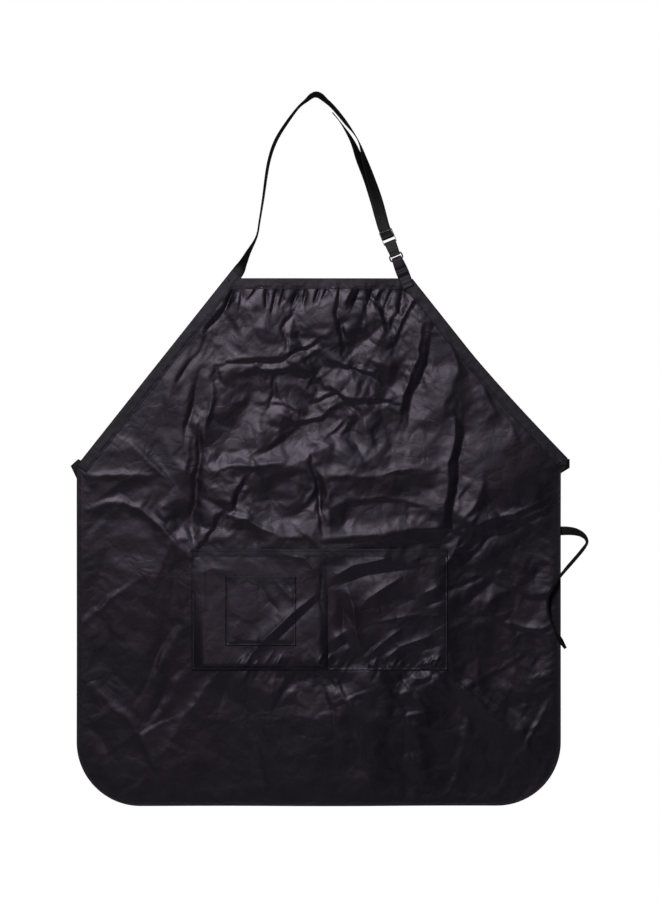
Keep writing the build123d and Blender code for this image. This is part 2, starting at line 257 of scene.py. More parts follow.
PANEL_NYLON = nylon("panel_nylon", (0.0032, 0.0014, 0.0036), (0.0054, 0.0028, 0.0062), 0.405, 0.14, 0.28)
POCKET_NYLON = nylon("pocket_nylon", (0.0032, 0.0014, 0.0036), (0.0054, 0.0028, 0.0062), 0.46, 0.12, 0.20)
HEM_NYLON = nylon("hem_nylon", (0.0030, 0.0026, 0.0034), (0.0046, 0.0042, 0.0052), 0.57, 0.14, 0.15)
BINDING_TAPE = nylon("binding_tape", (0.0028, 0.0024, 0.0032), (0.0042, 0.0038, 0.0050), 0.57, 0.14, 0.15)
STRAP_WEB = webbing("strap_webbing", (0.0035, 0.0030, 0.0038), (0.0060, 0.0054, 0.0066), 0.55)
LINK_WEB = webbing("link_webbing", (0.020, 0.019, 0.021), (0.036, 0.035, 0.037), 0.6)
TIE_TAPE = webbing("tie_tape", (0.0028, 0.0025, 0.0030), (0.0050, 0.0046, 0.0052), 0.6)
THREAD = webbing("thread", (0.012, 0.011, 0.013), (0.022, 0.021, 0.024), 0.5)
WIRE = plated_wire("buckle_wire")


# ---- Mesh helpers ----


def add_mesh(name, points, faces, material, smooth=True):
    mesh = bpy.data.meshes.new(name)
    mesh.from_pydata([tuple(p) for p in points], [], [tuple(int(i) for i in f) for f in faces])
    mesh.materials.append(material)
    mesh.polygons.foreach_set("use_smooth", [smooth] * len(mesh.polygons))
    mesh.update()
    piece = bpy.data.objects.new(name, mesh)
    bpy.context.scene.collection.objects.link(piece)
    return piece


def grid_faces(rows, columns, first=0):
    """Quads of a grid whose points run along each row in turn."""
    corner = np.arange(rows * columns).reshape(rows, columns)[:-1, :-1].ravel() + first
    return np.stack([corner, corner + 1, corner + columns + 1, corner + columns], axis=1)


def tube_faces(rings, around):
    """Quads of a closed tube, and the two end caps."""
    faces = []
    for ring in range(rings - 1):
        for step in range(around):
            here = ring * around + step
            beside = ring * around + (step + 1) % around
            faces.append((here, here + around, beside + around, beside))
    faces.append(tuple(range(around)))
    last = (rings - 1) * around
    faces.append(tuple(last + step for step in reversed(range(around))))
    return faces


def unit(vectors):
    return vectors / np.linalg.norm(vectors, axis=-1, keepdims=True)


def through(stations, spacing):
    """A smooth line through given stations, evenly spaced. Columns beyond the third ride along."""
    stations = np.array(stations, float)
    padded = np.vstack([2 * stations[0] - stations[1], stations, 2 * stations[-1] - stations[-2]])
    fine = []
    for index in range(len(stations) - 1):
        a, b, c, d = padded[index:index + 4]
        gap = [np.linalg.norm(q[:3] - p[:3]) ** 0.5 + 1e-9 for p, q in ((a, b), (b, c), (c, d))]
        leave = ((b - a) / gap[0] - (c - a) / (gap[0] + gap[1]) + (c - b) / gap[1]) * gap[1]
        arrive = ((c - b) / gap[1] - (d - b) / (gap[1] + gap[2]) + (d - c) / gap[2]) * gap[1]
        for t in np.linspace(0, 1, 24, endpoint=False):
            fine.append(
                b * (2 * t**3 - 3 * t**2 + 1) + leave * (t**3 - 2 * t**2 + t)
                + c * (3 * t**2 - 2 * t**3) + arrive * (t**3 - t**2)
            )
    fine.append(stations[-1])
    return evenly(np.array(fine), spacing)


def evenly(line, spacing):
    """The same line with its points a fixed distance apart."""
    line = np.array(line, float)
    runs = np.linalg.norm(np.diff(line[:, :3], axis=0), axis=1)
    along = np.concatenate([[0], np.cumsum(runs)])
    places = np.linspace(0, along[-1], max(int(round(along[-1] / spacing)), 2) + 1)
    return np.stack([np.interp(places, along, column) for column in line.T], axis=1)


def ribbon(name, line, across, width, thickness, rib_pitch, material):
    """Flat webbing along a line, with ribs across it, rounded selvedges and closed ends."""
    line = np.array(line, float)
    tangent = unit(np.gradient(line, axis=0))
    across = np.array(across, float)
    across = unit(across - tangent * np.sum(across * tangent, axis=1, keepdims=True))
    face = np.cross(tangent, across)
    width = np.broadcast_to(np.asarray(width, float), (len(line),))
    places = np.concatenate([[0], np.cumsum(np.linalg.norm(np.diff(line, axis=0), axis=1))])
    rib = 0.08 * thickness * np.sin(math.tau * places / rib_pitch)
    section = [(u, 1.0) for u in np.linspace(-0.94, 0.94, 9)] + [(1.0, 0.0)]
    section += [(-u, -v) for u, v in section]
    points = []
    for u, v in section:
        bulge = (1 - 0.25 * abs(u) ** 6) * v
        lift = bulge * (thickness / 2) + rib * v
        points.append(line + across * (u * width / 2)[:, None] + face * lift[:, None])
    points = np.stack(points, axis=1).reshape(-1, 3)
    return add_mesh(name, points, tube_faces(len(line), len(section)), material)


# ---- Waist ties: a free tape each, on the CAD tube's route ----

TIE_ROUTES = {
    "waist_tie_right": [
        (0.346, 0.0057, -0.546),
        (0.312, 0.009, -0.549),
        (0.287, 0.011, -0.560),
        (0.267, 0.012, -0.577),
        (0.260, 0.012, -0.600),
        (0.267, 0.012, -0.623),
        (0.287, 0.011, -0.638),
        (0.312, 0.010, -0.642),
        (0.337, 0.009, -0.638),
        (0.359, 0.007, -0.636),
        (0.376, 0.005, -0.637),
        (0.388, 0.001, -0.642),
        (0.394, -0.003, -0.651),
        (0.388, -0.007, -0.661),
        (0.376, -0.009, -0.675),
        (0.360, -0.0105, -0.693),
        (0.345, -0.011, -0.712),
        (0.335, -0.011, -0.731),
        (0.334, -0.011, -0.749),
        (0.339, -0.011, -0.768),
        (0.348, -0.011, -0.786),
        (0.361, -0.011, -0.806),
    ],
    "waist_tie_left": [
        (-0.341, 0.0057, -0.543),
        (-0.335, 0.009, -0.590),
        (-0.328, 0.011, -0.632),
        (-0.324, 0.011, -0.678),
        (-0.327, 0.011, -0.726),
        (-0.333, 0.011, -0.774),
        (-0.331, 0.011, -0.822),
        (-0.323, 0.011, -0.868),
        (-0.317, 0.011, -0.914),
        (-0.318, 0.011, -0.960),
        (-0.323, 0.011, -1.000),
    ],
}
# How the tape turns about its own line: (share of the length, turn in degrees). At 0 its width lies
# in the cloth's plane and its face shows, at 90 its edge shows.
TIE_TURNS = {
    "waist_tie_right": [
        (0.0, 0), (0.50, 0), (0.545, 30), (0.576, 58), (0.60, 80), (0.63, 74), (0.70, 73), (0.78, 84),
        (0.93, 84), (0.96, 58), (1.0, 55),
    ],
    "waist_tie_left": [(0.0, 0), (0.3, 12), (0.6, -10), (1.0, 8)],
}


def nurbs_line(name, route):
    """The points of the NURBS spline whose control points are the route."""
    curve = bpy.data.curves.new(name, "CURVE")
    curve.dimensions = "3D"
    curve.resolution_u = 24
    spline = curve.splines.new("NURBS")
    spline.points.add(len(route) - 1)
    for point, place in zip(spline.points, route):
        point.co = (*place, 1.0)
    spline.order_u = 3
    spline.use_endpoint_u = True
    holder = bpy.data.objects.new(name, curve)
    mesh = bpy.data.meshes.new_from_object(holder)
    line = [tuple(v.co) for v in mesh.vertices]
    bpy.data.objects.remove(holder)
    bpy.data.curves.remove(curve)
    bpy.data.meshes.remove(mesh)
    return line


def make_tie(name):
    line = evenly(nurbs_line(name + "_route", TIE_ROUTES[name]), 0.0012)
    tangent = unit(np.gradient(line, axis=0))
    in_plane = unit(np.cross(tangent, np.array([0.0, 1.0, 0.0])))
    for index in range(1, len(in_plane)):
        if in_plane[index] @ in_plane[index - 1] < 0:
            in_plane[index] *= -1
    share = np.linspace(0, 1, len(line))
    stations, degrees = zip(*TIE_TURNS[name])
    turn = np.radians(np.interp(share, stations, degrees))[:, None]
    across = in_plane * np.cos(turn) + np.cross(tangent, in_plane) * np.sin(turn)
    width = TIE_W * np.interp(share, [0, 0.97, 1.0], [1.0, 1.0, 0.45])
    tie = ribbon(name + "_tape", line, across, width, TIE_T, 0.0012, TIE_TAPE)
    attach(tie, "apron")
    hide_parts(name)
    length = float(np.linalg.norm(np.diff(line, axis=0), axis=1).sum())
    print(f"{name}: {length * 1000:.0f} mm along its line")
    return tie


make_tie("waist_tie_right")
make_tie("waist_tie_left")


# ---- The cloth's height field ----


def half_width(z):
    """Half the panel's width at height z: slanting bib edges, straight sides, round bottom corners."""
    z = np.asarray(z, float)
    slant = BIB_HALF_W + (BIB_TOP - z) / (BIB_TOP - WAIST) * (HALF_W - BIB_HALF_W)
    drop = np.clip((BOTTOM + CORNER_R) - z, 0, CORNER_R)
    rounded = HALF_W - CORNER_R + np.sqrt(CORNER_R**2 - drop**2)
    return np.where(z > WAIST, slant, rounded)


def flare(z):
    """How far the right edge is drawn out at height z, where the tie pulls on the waist corner."""
    rise = np.clip((FLARE_TOP - np.asarray(z, float)) / (FLARE_TOP - FLARE_WIDEST), 0, 1) ** 1.5
    fall = np.clip((z - FLARE_END) / (FLARE_WIDEST - FLARE_END), 0, 1)
    return FLARE_OUT * rise * fall


# Creases and soft folds: (points, height, width). A negative height is a valley.
FOLDS = [
    # bib
    ([(-0.128, -0.394), (-0.052, -0.389), (0.009, -0.358)], -0.0030, 0.0045),
    ([(-0.125, -0.404), (-0.050, -0.401), (0.012, -0.370)], 0.0014, 0.0085),
    ([(0.157, -0.335), (0.139, -0.418), (0.122, -0.470)], 0.0034, 0.0070),
    ([(0.170, -0.345), (0.152, -0.420), (0.133, -0.470)], -0.0028, 0.0050),
    ([(0.143, -0.294), (0.115, -0.362)], 0.0030, 0.0050),
    ([(0.130, -0.300), (0.106, -0.352)], -0.0012, 0.0060),
    ([(0.030, -0.293), (0.036, -0.365)], -0.0030, 0.0060),
    ([(-0.120, -0.296), (-0.158, -0.350)], -0.0032, 0.0065),
    ([(-0.020, -0.296), (-0.048, -0.345), (-0.042, -0.372)], -0.0018, 0.0050),
    ([(-0.180, -0.385), (-0.205, -0.425)], -0.0018, 0.0045),
    ([(-0.172, -0.420), (-0.188, -0.495)], -0.0028, 0.0055),
    ([(-0.150, -0.425), (-0.160, -0.500)], 0.0020, 0.0060),
    ([(-0.060, -0.410), (-0.068, -0.450), (-0.030, -0.462)], -0.0014, 0.0040),
    ([(-0.010, -0.455), (0.030, -0.440), (0.062, -0.462)], -0.0022, 0.0040),
    ([(-0.030, -0.480), (0.012, -0.470), (0.032, -0.452)], 0.0022, 0.0045),
    ([(0.012, -0.500), (0.040, -0.476)], 0.0018, 0.0040),
    ([(0.045, -0.445), (0.110, -0.452)], -0.0016, 0.0035),
    ([(0.035, -0.395), (0.085, -0.408)], 0.0014, 0.0040),
    # slanting panel on the right
    ([(0.185, -0.330), (0.205, -0.400), (0.185, -0.480)], 0.0016, 0.0090),
    ([(0.240, -0.425), (0.262, -0.470)], 0.0012, 0.0060),
    ([(0.275, -0.470), (0.300, -0.520)], 0.0010, 0.0060),
    # storage folds across the middle
    ([(-0.006, -0.534), (0.005, -0.590), (0.013, -0.650)], -0.0028, 0.0045),
    ([(0.010, -0.540), (0.021, -0.600)], 0.0014, 0.0060),
    ([(-0.167, -0.487), (-0.174, -0.560), (-0.181, -0.645)], -0.0026, 0.0040),
    ([(-0.182, -0.500), (-0.190, -0.560)], 0.0016, 0.0060),
    ([(0.204, -0.470), (0.192, -0.550), (0.183, -0.640)], 0.0042, 0.0060),
    ([(0.214, -0.480), (0.203, -0.560), (0.194, -0.635)], -0.0036, 0.0055),
    ([(-0.094, -0.554), (-0.130, -0.613)], -0.0032, 0.0045),
    ([(-0.128, -0.600), (-0.167, -0.663)], -0.0026, 0.0060),
    ([(-0.020, -0.640), (0.010, -0.660)], 0.0018, 0.0050),
    ([(0.010, -0.655), (0.110, -0.652)], -0.0016, 0.0040),
    ([(-0.020, -0.600), (0.010, -0.560)], 0.0012, 0.0050),
    ([(0.040, -0.600), (0.090, -0.588), (0.160, -0.598)], 0.0012, 0.0060),
    # right of the pockets
    ([(0.197, -0.679), (0.231, -0.635), (0.332, -0.592)], 0.0028, 0.0060),
    ([(0.205, -0.690), (0.250, -0.650), (0.335, -0.612)], -0.0018, 0.0060),
    ([(0.210, -0.625), (0.235, -0.600), (0.240, -0.560)], 0.0018, 0.0050),
    ([(0.238, -0.751), (0.280, -0.770), (0.325, -0.780), (0.346, -0.777)], 0.0024, 0.0060),
    ([(0.200, -0.720), (0.240, -0.705), (0.300, -0.730)], -0.0014, 0.0060),
    ([(0.240, -0.850), (0.300, -0.815)], 0.0016, 0.0060),
]

# Broad pressed ridges across the middle, left from how the apron was folded away.
BANDS = [
    ([(-0.172, -0.545), (-0.017, -0.541)], 0.0024, 0.0130),
    ([(-0.003, -0.557), (0.085, -0.553), (0.173, -0.547)], 0.0038, 0.0140),
    ([(-0.128, -0.612), (-0.080, -0.632), (-0.020, -0.650)], 0.0032, 0.0085),
    ([(0.014, -0.645), (0.100, -0.641), (0.191, -0.629)], 0.0036, 0.0090),
]

# Thin ridges in the calm cloth of the left side and the skirt, which catch the light on a narrow side.
STREAKS = [
    # left side, calm and long
    ([(-0.338, -0.552), (-0.285, -0.552), (-0.235, -0.562)], 0.0022, 0.0080),
    ([(-0.275, -0.505), (-0.205, -0.572)], 0.0028, 0.0100),
    ([(-0.338, -0.606), (-0.310, -0.597), (-0.280, -0.594), (-0.257, -0.601), (-0.236, -0.621),
      (-0.215, -0.645), (-0.183, -0.668)], 0.0017, 0.0060),
    ([(-0.339, -0.771), (-0.305, -0.738), (-0.273, -0.715)], 0.0018, 0.0060),
    ([(-0.196, -0.764), (-0.225, -0.810), (-0.248, -0.860)], -0.0020, 0.0080),
    ([(-0.184, -0.828), (-0.212, -0.865), (-0.238, -0.912)], -0.0018, 0.0080),
    ([(-0.144, -0.845), (-0.180, -0.890), (-0.212, -0.940)], 0.0016, 0.0100),
    ([(-0.300, -0.880), (-0.255, -0.930), (-0.230, -0.985)], 0.0016, 0.0120),
    ([(-0.330, -0.915), (-0.300, -0.960)], -0.0012, 0.0080),
    # skirt under the pockets
    ([(0.019, -0.841), (0.044, -0.880), (0.061, -0.918), (0.081, -1.012)], 0.0026, 0.0080),
    ([(0.005, -0.845), (0.025, -0.900), (0.035, -0.960)], -0.0016, 0.0080),
    ([(0.103, -0.866), (0.128, -0.905), (0.148, -0.990)], 0.0022, 0.0080),
    ([(0.120, -0.845), (0.170, -0.900)], -0.0016, 0.0060),
    ([(0.187, -0.841), (0.235, -0.880), (0.281, -0.925)], 0.0034, 0.0080),
    ([(0.205, -0.838), (0.260, -0.880), (0.300, -0.905)], -0.0020, 0.0070),
    ([(0.345, -0.869), (0.325, -0.910), (0.293, -0.963)], 0.0020, 0.0070),
    ([(-0.060, -0.845), (-0.075, -0.930), (-0.070, -1.000)], 0.0012, 0.0120),
    ([(-0.120, -0.842), (-0.140, -0.900)], -0.0014, 0.0070),
    ([(0.215, -0.930), (0.200, -1.010)], 0.0012, 0.0110),
]

POCKET_FOLDS = [
    # the left pocket, over and beside the small one
    ([(-0.0015, -0.729), (-0.033, -0.754), (-0.079, -0.797), (-0.115, -0.838)], 0.0042, 0.0060),
    ([(0.002, -0.738), (-0.026, -0.765), (-0.060, -0.797)], -0.0026, 0.0050),
    ([(-0.084, -0.708), (-0.067, -0.739), (-0.052, -0.754)], -0.0013, 0.0040),
    ([(-0.057, -0.710), (-0.040, -0.729), (-0.028, -0.738)], 0.0009, 0.0034),
    ([(-0.046, -0.706), (-0.036, -0.722)], -0.0010, 0.0030),
    ([(-0.060, -0.668), (-0.015, -0.676), (0.004, -0.700), (0.008, -0.724)], 0.0020, 0.0060),
    ([(0.010, -0.690), (0.006, -0.735), (0.012, -0.760)], -0.0018, 0.0040),
    ([(-0.125, -0.842), (-0.100, -0.812), (-0.088, -0.806)], -0.0016, 0.0040),
    ([(-0.174, -0.700), (-0.150, -0.690), (-0.120, -0.694)], 0.0010, 0.0070),
    # the right pocket
    ([(0.025, -0.703), (0.054, -0.686), (0.112, -0.674)], 0.0036, 0.0050),
    ([(0.030, -0.716), (0.075, -0.700), (0.150, -0.690)], -0.0024, 0.0060),
    ([(0.0445, -0.715), (0.054, -0.746), (0.057, -0.780), (0.068, -0.812)], 0.0034, 0.0055),
    ([(0.032, -0.720), (0.040, -0.755), (0.038, -0.790)], -0.0026, 0.0050),
    ([(0.0735, -0.736), (0.093, -0.722), (0.126, -0.702)], 0.0028, 0.0045),
    ([(0.016, -0.800), (0.045, -0.779)], 0.0022, 0.0040),
    ([(0.018, -0.815), (0.050, -0.795)], -0.0020, 0.0035),
    ([(0.070, -0.822), (0.093, -0.799), (0.126, -0.777)], 0.0026, 0.0042),
    ([(0.060, -0.826), (0.080, -0.806), (0.104, -0.790)], -0.0024, 0.0035),
    ([(0.097, -0.826), (0.122, -0.804), (0.172, -0.787)], 0.0024, 0.0040),
    ([(0.110, -0.830), (0.140, -0.814), (0.180, -0.802)], -0.0018, 0.0036),
    ([(0.145, -0.834), (0.188, -0.816)], 0.0018, 0.0034),
    ([(0.078, -0.770), (0.140, -0.758), (0.186, -0.760)], 0.0014, 0.0050),
    ([(0.154, -0.728), (0.188, -0.712)], 0.0022, 0.0038),
    ([(0.160, -0.745), (0.188, -0.735)], -0.0016, 0.0035),
    ([(0.090, -0.745), (0.150, -0.735)], -0.0016, 0.0080),
]

# A fold slopes gently on one side and steeply on the other, as pressed cloth does: a ridge is gentle
# on its upper left, a valley on its lower right.
SLOPE_WIDTHS = (2.0, 0.65)
BAND_WIDTHS = (1.1, 1.7)
STREAK_WIDTHS = (0.55, 2.2)
POCKET_WIDTHS = (1.2, 1.6)
LIGHT_SIDE = (-0.5, 0.87)

# Broad swells and hollows: (x, z, radius, height)
SWELLS = [
    (-0.235, -0.410, 0.090, 0.0034),
    (-0.250, -0.600, 0.090, -0.0022),
    (0.270, -0.560, 0.075, 0.0050),
    (0.270, -0.800, 0.100, -0.0062),
    (-0.060, -0.330, 0.060, 0.0030),
    (0.110, -0.420, 0.050, -0.0024),
    (0.040, -0.650, 0.110, 0.0040),
    (0.000, -0.985, 0.110, 0.0045),
]

# Where the cloth is crumpled and where it is calm: (x, z, radius, strength)
CRUMPLED = [
    (0.020, -0.440, 0.150, 0.8),
    (0.060, -0.330, 0.110, 0.8),
    (-0.080, -0.320, 0.080, 0.7),
    (0.060, -0.600, 0.150, 0.6),
    (-0.090, -0.560, 0.110, 0.6),
    (0.200, -0.640, 0.110, 0.7),
    (0.270, -0.720, 0.100, 0.8),
    (0.160, -0.880, 0.140, 0.7),
    (0.280, -0.820, 0.110, 0.6),
    (0.050, -0.850, 0.120, 0.6),
    (-0.180, -0.620, 0.060, 0.6),
]
CALM = 0.16              # the strength everywhere else

FIELD_MARGIN = 0.020     # the field runs on past the panel's sides, for the flared corner
columns = int(round(2 * (HALF_W + FIELD_MARGIN) / FIELD_STEP)) + 1
rows = int(math.ceil((BIB_TOP - BOTTOM) / FIELD_STEP)) + 1
FIELD_X = PANEL_X - HALF_W - FIELD_MARGIN + FIELD_STEP * np.arange(columns)
FIELD_Z = BOTTOM + FIELD_STEP * np.arange(rows)
grid_x, grid_z = np.meshgrid(FIELD_X, FIELD_Z)


def line_distance(points, x, z):
    """How far each place is from a polyline, how far along it (0 to 1), and if it is on the upper left."""
    points = np.array(points, float)
    runs = np.linalg.norm(np.diff(points, axis=0), axis=1)
    starts = np.concatenate([[0], np.cumsum(runs)]) / runs.sum()
    nearest = np.full(x.shape, np.inf)
    along = np.zeros(x.shape)
    upper_left = np.zeros(x.shape, bool)
    for index, run in enumerate(runs):
        (ax, az), (bx, bz) = points[index], points[index + 1]
        share = np.clip(((x - ax) * (bx - ax) + (z - az) * (bz - az)) / run**2, 0, 1)
        gap = np.hypot(x - ax - share * (bx - ax), z - az - share * (bz - az))
        closer = gap < nearest
        nearest = np.where(closer, gap, nearest)
        here = starts[index] + share * (starts[index + 1] - starts[index])
        along = np.where(closer, here, along)
        turn = (bx - ax) * (z - az) - (bz - az) * (x - ax)
        faces_up = (bx - ax) * LIGHT_SIDE[1] - (bz - az) * LIGHT_SIDE[0] > 0
        upper_left = np.where(closer, (turn > 0) == faces_up, upper_left)
    return nearest, along, upper_left


def wandering(x, z, reach):
    """How far the cloth's folds stray from their listed lines at each place, along X and Z."""
    stride = int(round(WANDER_STEP / FIELD_STEP))
    coarse_x, coarse_z = x[::stride, ::stride], z[::stride, ::stride]
    shift = np.zeros((*coarse_x.shape, 3))
    for index in np.ndindex(coarse_x.shape):
        place = Vector((coarse_x[index], 0.12, coarse_z[index]))
        shift[index] = noise.noise_vector(place * 26) + noise.noise_vector(place * 80) * 0.4
    return finer(shift[..., 0], x.shape, stride) * reach, finer(shift[..., 2], x.shape, stride) * reach


def fold_relief(folds, x, z, slopes=SLOPE_WIDTHS):
    """The sum of listed folds, each fading out at its two ends."""
    relief = np.zeros(x.shape)
    for points, height, width in folds:
        reach = 6 * width
        ends = np.array(points)
        low, high = ends.min(0) - reach, ends.max(0) + reach
        first_column, last_column = np.searchsorted(x[0], [low[0], high[0]])
        first_row, last_row = np.searchsorted(z[:, 0], [low[1], high[1]])
        part = (slice(first_row, last_row), slice(first_column, last_column))
        gap, along, lit = line_distance(points, x[part], z[part])
        fade = np.sin(math.pi * np.clip(along, 0.02, 0.98)) ** 0.6
        reach = np.where(lit == (height > 0), width * slopes[0], width * slopes[1])
        relief[part] += height * fade * np.exp(-((gap / reach) ** 1.15))
    return relief


def facet_relief(spacing, height, seed, x, z):
    """Crushed cloth: flat facets between scattered points of random height, so creases run between them."""
    scatter = random.Random(seed)
    low_x, high_x = x.min() - spacing, x.max() + spacing
    low_z, high_z = z.min() - spacing, z.max() + spacing
    points = []
    heights = []
    for row in np.arange(low_z, high_z + spacing, spacing):
        for column in np.arange(low_x, high_x + spacing, spacing):
            points.append(Vector((
                column + scatter.uniform(-0.45, 0.45) * spacing,
                row + scatter.uniform(-0.45, 0.45) * spacing,
            )))
            heights.append(scatter.uniform(-height, height))
    places, _, triangles, sources, _, _ = geometry.delaunay_2d_cdt(points, [], [], 0, 1e-9)
    level = [heights[source[0]] for source in sources]
    relief = np.zeros(x.shape)
    step = x[0, 1] - x[0, 0]
    for a, b, c in triangles:
        corners = np.array([places[i][:] for i in (a, b, c)])
        first = np.floor((corners.min(0) - (x[0, 0], z[0, 0])) / step).astype(int)
        last = np.ceil((corners.max(0) - (x[0, 0], z[0, 0])) / step).astype(int) + 1
        across = slice(max(first[0], 0), max(last[0], 0))
        up = slice(max(first[1], 0), max(last[1], 0))
        px, pz = x[up, across], z[up, across]
        (x0, z0), (x1, z1), (x2, z2) = corners
        area = (x1 - x0) * (z2 - z0) - (x2 - x0) * (z1 - z0)
        if px.size == 0 or abs(area) < 1e-12:
            continue
        w1 = ((px - x0) * (z2 - z0) - (x2 - x0) * (pz - z0)) / area
        w2 = ((x1 - x0) * (pz - z0) - (px - x0) * (z1 - z0)) / area
        inside = (w1 >= -1e-6) & (w2 >= -1e-6) & (w1 + w2 <= 1 + 1e-6)
        value = level[a] * (1 - w1 - w2) + level[b] * w1 + level[c] * w2
        relief[up, across] = np.where(inside, value, relief[up, across])
    return relief


def soften(field, passes):
    """A small blur that keeps the size of the field."""
    for _ in range(passes):
        wide = np.pad(field, 1, mode="edge")
        field = (wide[:-2, 1:-1] + wide[2:, 1:-1] + wide[1:-1, :-2] + wide[1:-1, 2:] + 4 * field) / 8
    return field


def displaced(field, shift_x, shift_z):
    """The field read a little way off from each place."""
    high, wide = field.shape
    column = np.clip(np.arange(wide)[None, :] + shift_x / FIELD_STEP, 0, wide - 1.001)
    row = np.clip(np.arange(high)[:, None] + shift_z / FIELD_STEP, 0, high - 1.001)
    c, r = column.astype(int), row.astype(int)
    u, v = column - c, row - r
    return (
        field[r, c] * (1 - u) * (1 - v) + field[r, c + 1] * u * (1 - v)
        + field[r + 1, c] * (1 - u) * v + field[r + 1, c + 1] * u * v
    )


def smooth_step(value, low, high):
    share = np.clip((value - low) / (high - low), 0, 1)
    return share * share * (3 - 2 * share)


def crumple_map(x, z):
    strength = np.full(x.shape, CALM)
    for cx, cz, radius, amount in CRUMPLED:
        strength = np.maximum(strength, amount * np.exp(-((x - cx) ** 2 + (z - cz) ** 2) / radius**2))
    return strength


def edge_distance(x, z):
    """How far inside the panel's cut edge a place is."""
    side = half_width(z) + np.where(x > PANEL_X, flare(z), 0) - np.abs(x - PANEL_X)
    slope = np.where(z > WAIST, math.cos(math.atan((HALF_W - BIB_HALF_W) / (BIB_TOP - WAIST))), 1.0)
    return np.minimum(np.minimum(side * slope, BIB_TOP - z), z - BOTTOM)


def gathers():
    """Short gathers that hang from the bib's hem, and puckers along the pocket's bottom seam."""
    scatter = random.Random(SEED)
    folds = []
    for index in range(17):
        x = -0.118 + 0.0152 * index + scatter.uniform(-0.004, 0.004)
        lean = scatter.uniform(-0.014, 0.000)
        drop = scatter.uniform(0.016, 0.040)
        sign = scatter.choice((-1, 1, -1))
        top = (x, BIB_TOP - BIB_HEM_W + 0.004)
        folds.append(([top, (x + lean, top[1] - drop)], sign * scatter.uniform(0.0018, 0.0034), 0.0030))
    for index in range(26):
        x = POCKET_X[0] + 0.012 + 0.0142 * index + scatter.uniform(-0.004, 0.004)
        drop = scatter.uniform(0.012, 0.026)
        top = (x, POCKET_Z[0] + 0.003)
        folds.append(([top, (x - 0.5 * drop, top[1] - drop)], scatter.uniform(-0.0014, 0.0014), 0.0026))
    return folds


def pocket_puckers():
    """Short slanting puckers that rise from the wide pocket's bottom seam, closest on its right half."""
    scatter = random.Random(SEED + 3)
    folds = []
    x = POCKET_X[0] + 0.060
    while x < POCKET_X[1] - 0.010:
        rise = scatter.uniform(0.012, 0.030)
        height = scatter.choice((-1, 1)) * scatter.uniform(0.0014, 0.0026)
        folds.append(([(x, POCKET_Z[0] - 0.004), (x + 0.75 * rise, POCKET_Z[0] + rise)], height, 0.0026))
        x += scatter.uniform(0.010, 0.018) if x < DIVIDER_X else scatter.uniform(0.007, 0.013)
    return folds


def hanging_waves(x, z):
    """Long shallow waves of the whole skirt, which its edges share, and broad listed swells."""
    waves = 0.0016 * np.sin(x * 19 + 0.7) * smooth_step(-z, 0.60, 1.02)
    waves += 0.0012 * np.sin(z * 15 + x * 6)
    for cx, cz, radius, height in SWELLS:
        waves += height * np.exp(-((x - cx) ** 2 + (z - cz) ** 2) / radius**2)
    return waves


def simulate(start, extra):
    """Lets a slightly oversized cloth buckle about its start shape, and returns its depths."""
    stride = int(round(SIM_STEP / FIELD_STEP))
    x, z = grid_x[::stride, ::stride], grid_z[::stride, ::stride]
    depth, more = start[::stride, ::stride], extra[::stride, ::stride]
    high, wide = x.shape
    inside = edge_distance(x, z)
    kept = inside > -SIM_STEP
    number = np.full(x.shape, -1)
    number[kept] = np.arange(kept.sum())
    faces = []
    for row in range(high - 1):
        for column in range(wide - 1):
            quad = (
                number[row, column], number[row, column + 1],
                number[row + 1, column + 1], number[row + 1, column],
            )
            if min(quad) >= 0:
                faces.append(quad)
    points = np.stack([x[kept], -depth[kept], z[kept]], axis=1)
    cloth = add_mesh("cloth_sim", points, faces, PANEL_NYLON)
    hold = cloth.vertex_groups.new(name="hold")
    grow = cloth.vertex_groups.new(name="grow")
    pinned = np.clip(1 - smooth_step(inside[kept], 0.004, 0.016), 0.05, 1)
    for index, (grip, growth) in enumerate(zip(pinned, more[kept])):
        hold.add([index], float(grip), "REPLACE")
        grow.add([index], 1.0 - float(growth), "REPLACE")
    settings = cloth.modifiers.new("Cloth", "CLOTH").settings
    settings.quality = 6
    settings.mass = 0.12
    settings.tension_stiffness = 30
    settings.compression_stiffness = 30
    settings.shear_stiffness = 12
    settings.bending_stiffness = 0.05
    settings.tension_damping = 8
    settings.compression_damping = 8
    settings.shear_damping = 8
    settings.air_damping = 2
    settings.vertex_group_mass = "hold"
    settings.pin_stiffness = 1.0
    settings.vertex_group_shrink = "grow"
    settings.shrink_min = -EXTRA_CLOTH
    settings.shrink_max = 0.0
    settings.effector_weights.gravity = 0.0
    scene = bpy.context.scene
    cloth.modifiers["Cloth"].point_cache.frame_end = SIM_FRAMES
    for step in range(1, SIM_FRAMES + 1):
        scene.frame_set(step)
    result = cloth.evaluated_get(bpy.context.evaluated_depsgraph_get())
    settled = np.zeros(3 * len(points), np.float32)
    result.data.vertices.foreach_get("co", settled)
    settled = settled.reshape(-1, 3)
    bpy.data.objects.remove(cloth)
    scene.frame_set(1)
    coarse = depth.copy()
    coarse[kept] = -settled[:, 1]
    print(f"cloth moved up to {1000 * np.abs(coarse - depth).max():.1f} mm, "
          f"rms {1000 * (coarse - depth).std():.2f} mm")
    return finer(coarse - depth, start.shape, stride)


def finer(coarse, shape, stride):
    """A coarse field on the fine grid, linear between its points and then softened."""
    rows_at = np.arange(shape[0]) / stride
    columns_at = np.arange(shape[1]) / stride
    tall = np.stack([np.interp(rows_at, np.arange(coarse.shape[0]), c) for c in coarse.T], axis=1)
    wide = np.stack([np.interp(columns_at, np.arange(coarse.shape[1]), r) for r in tall], axis=0)
    return soften(wide, 1)


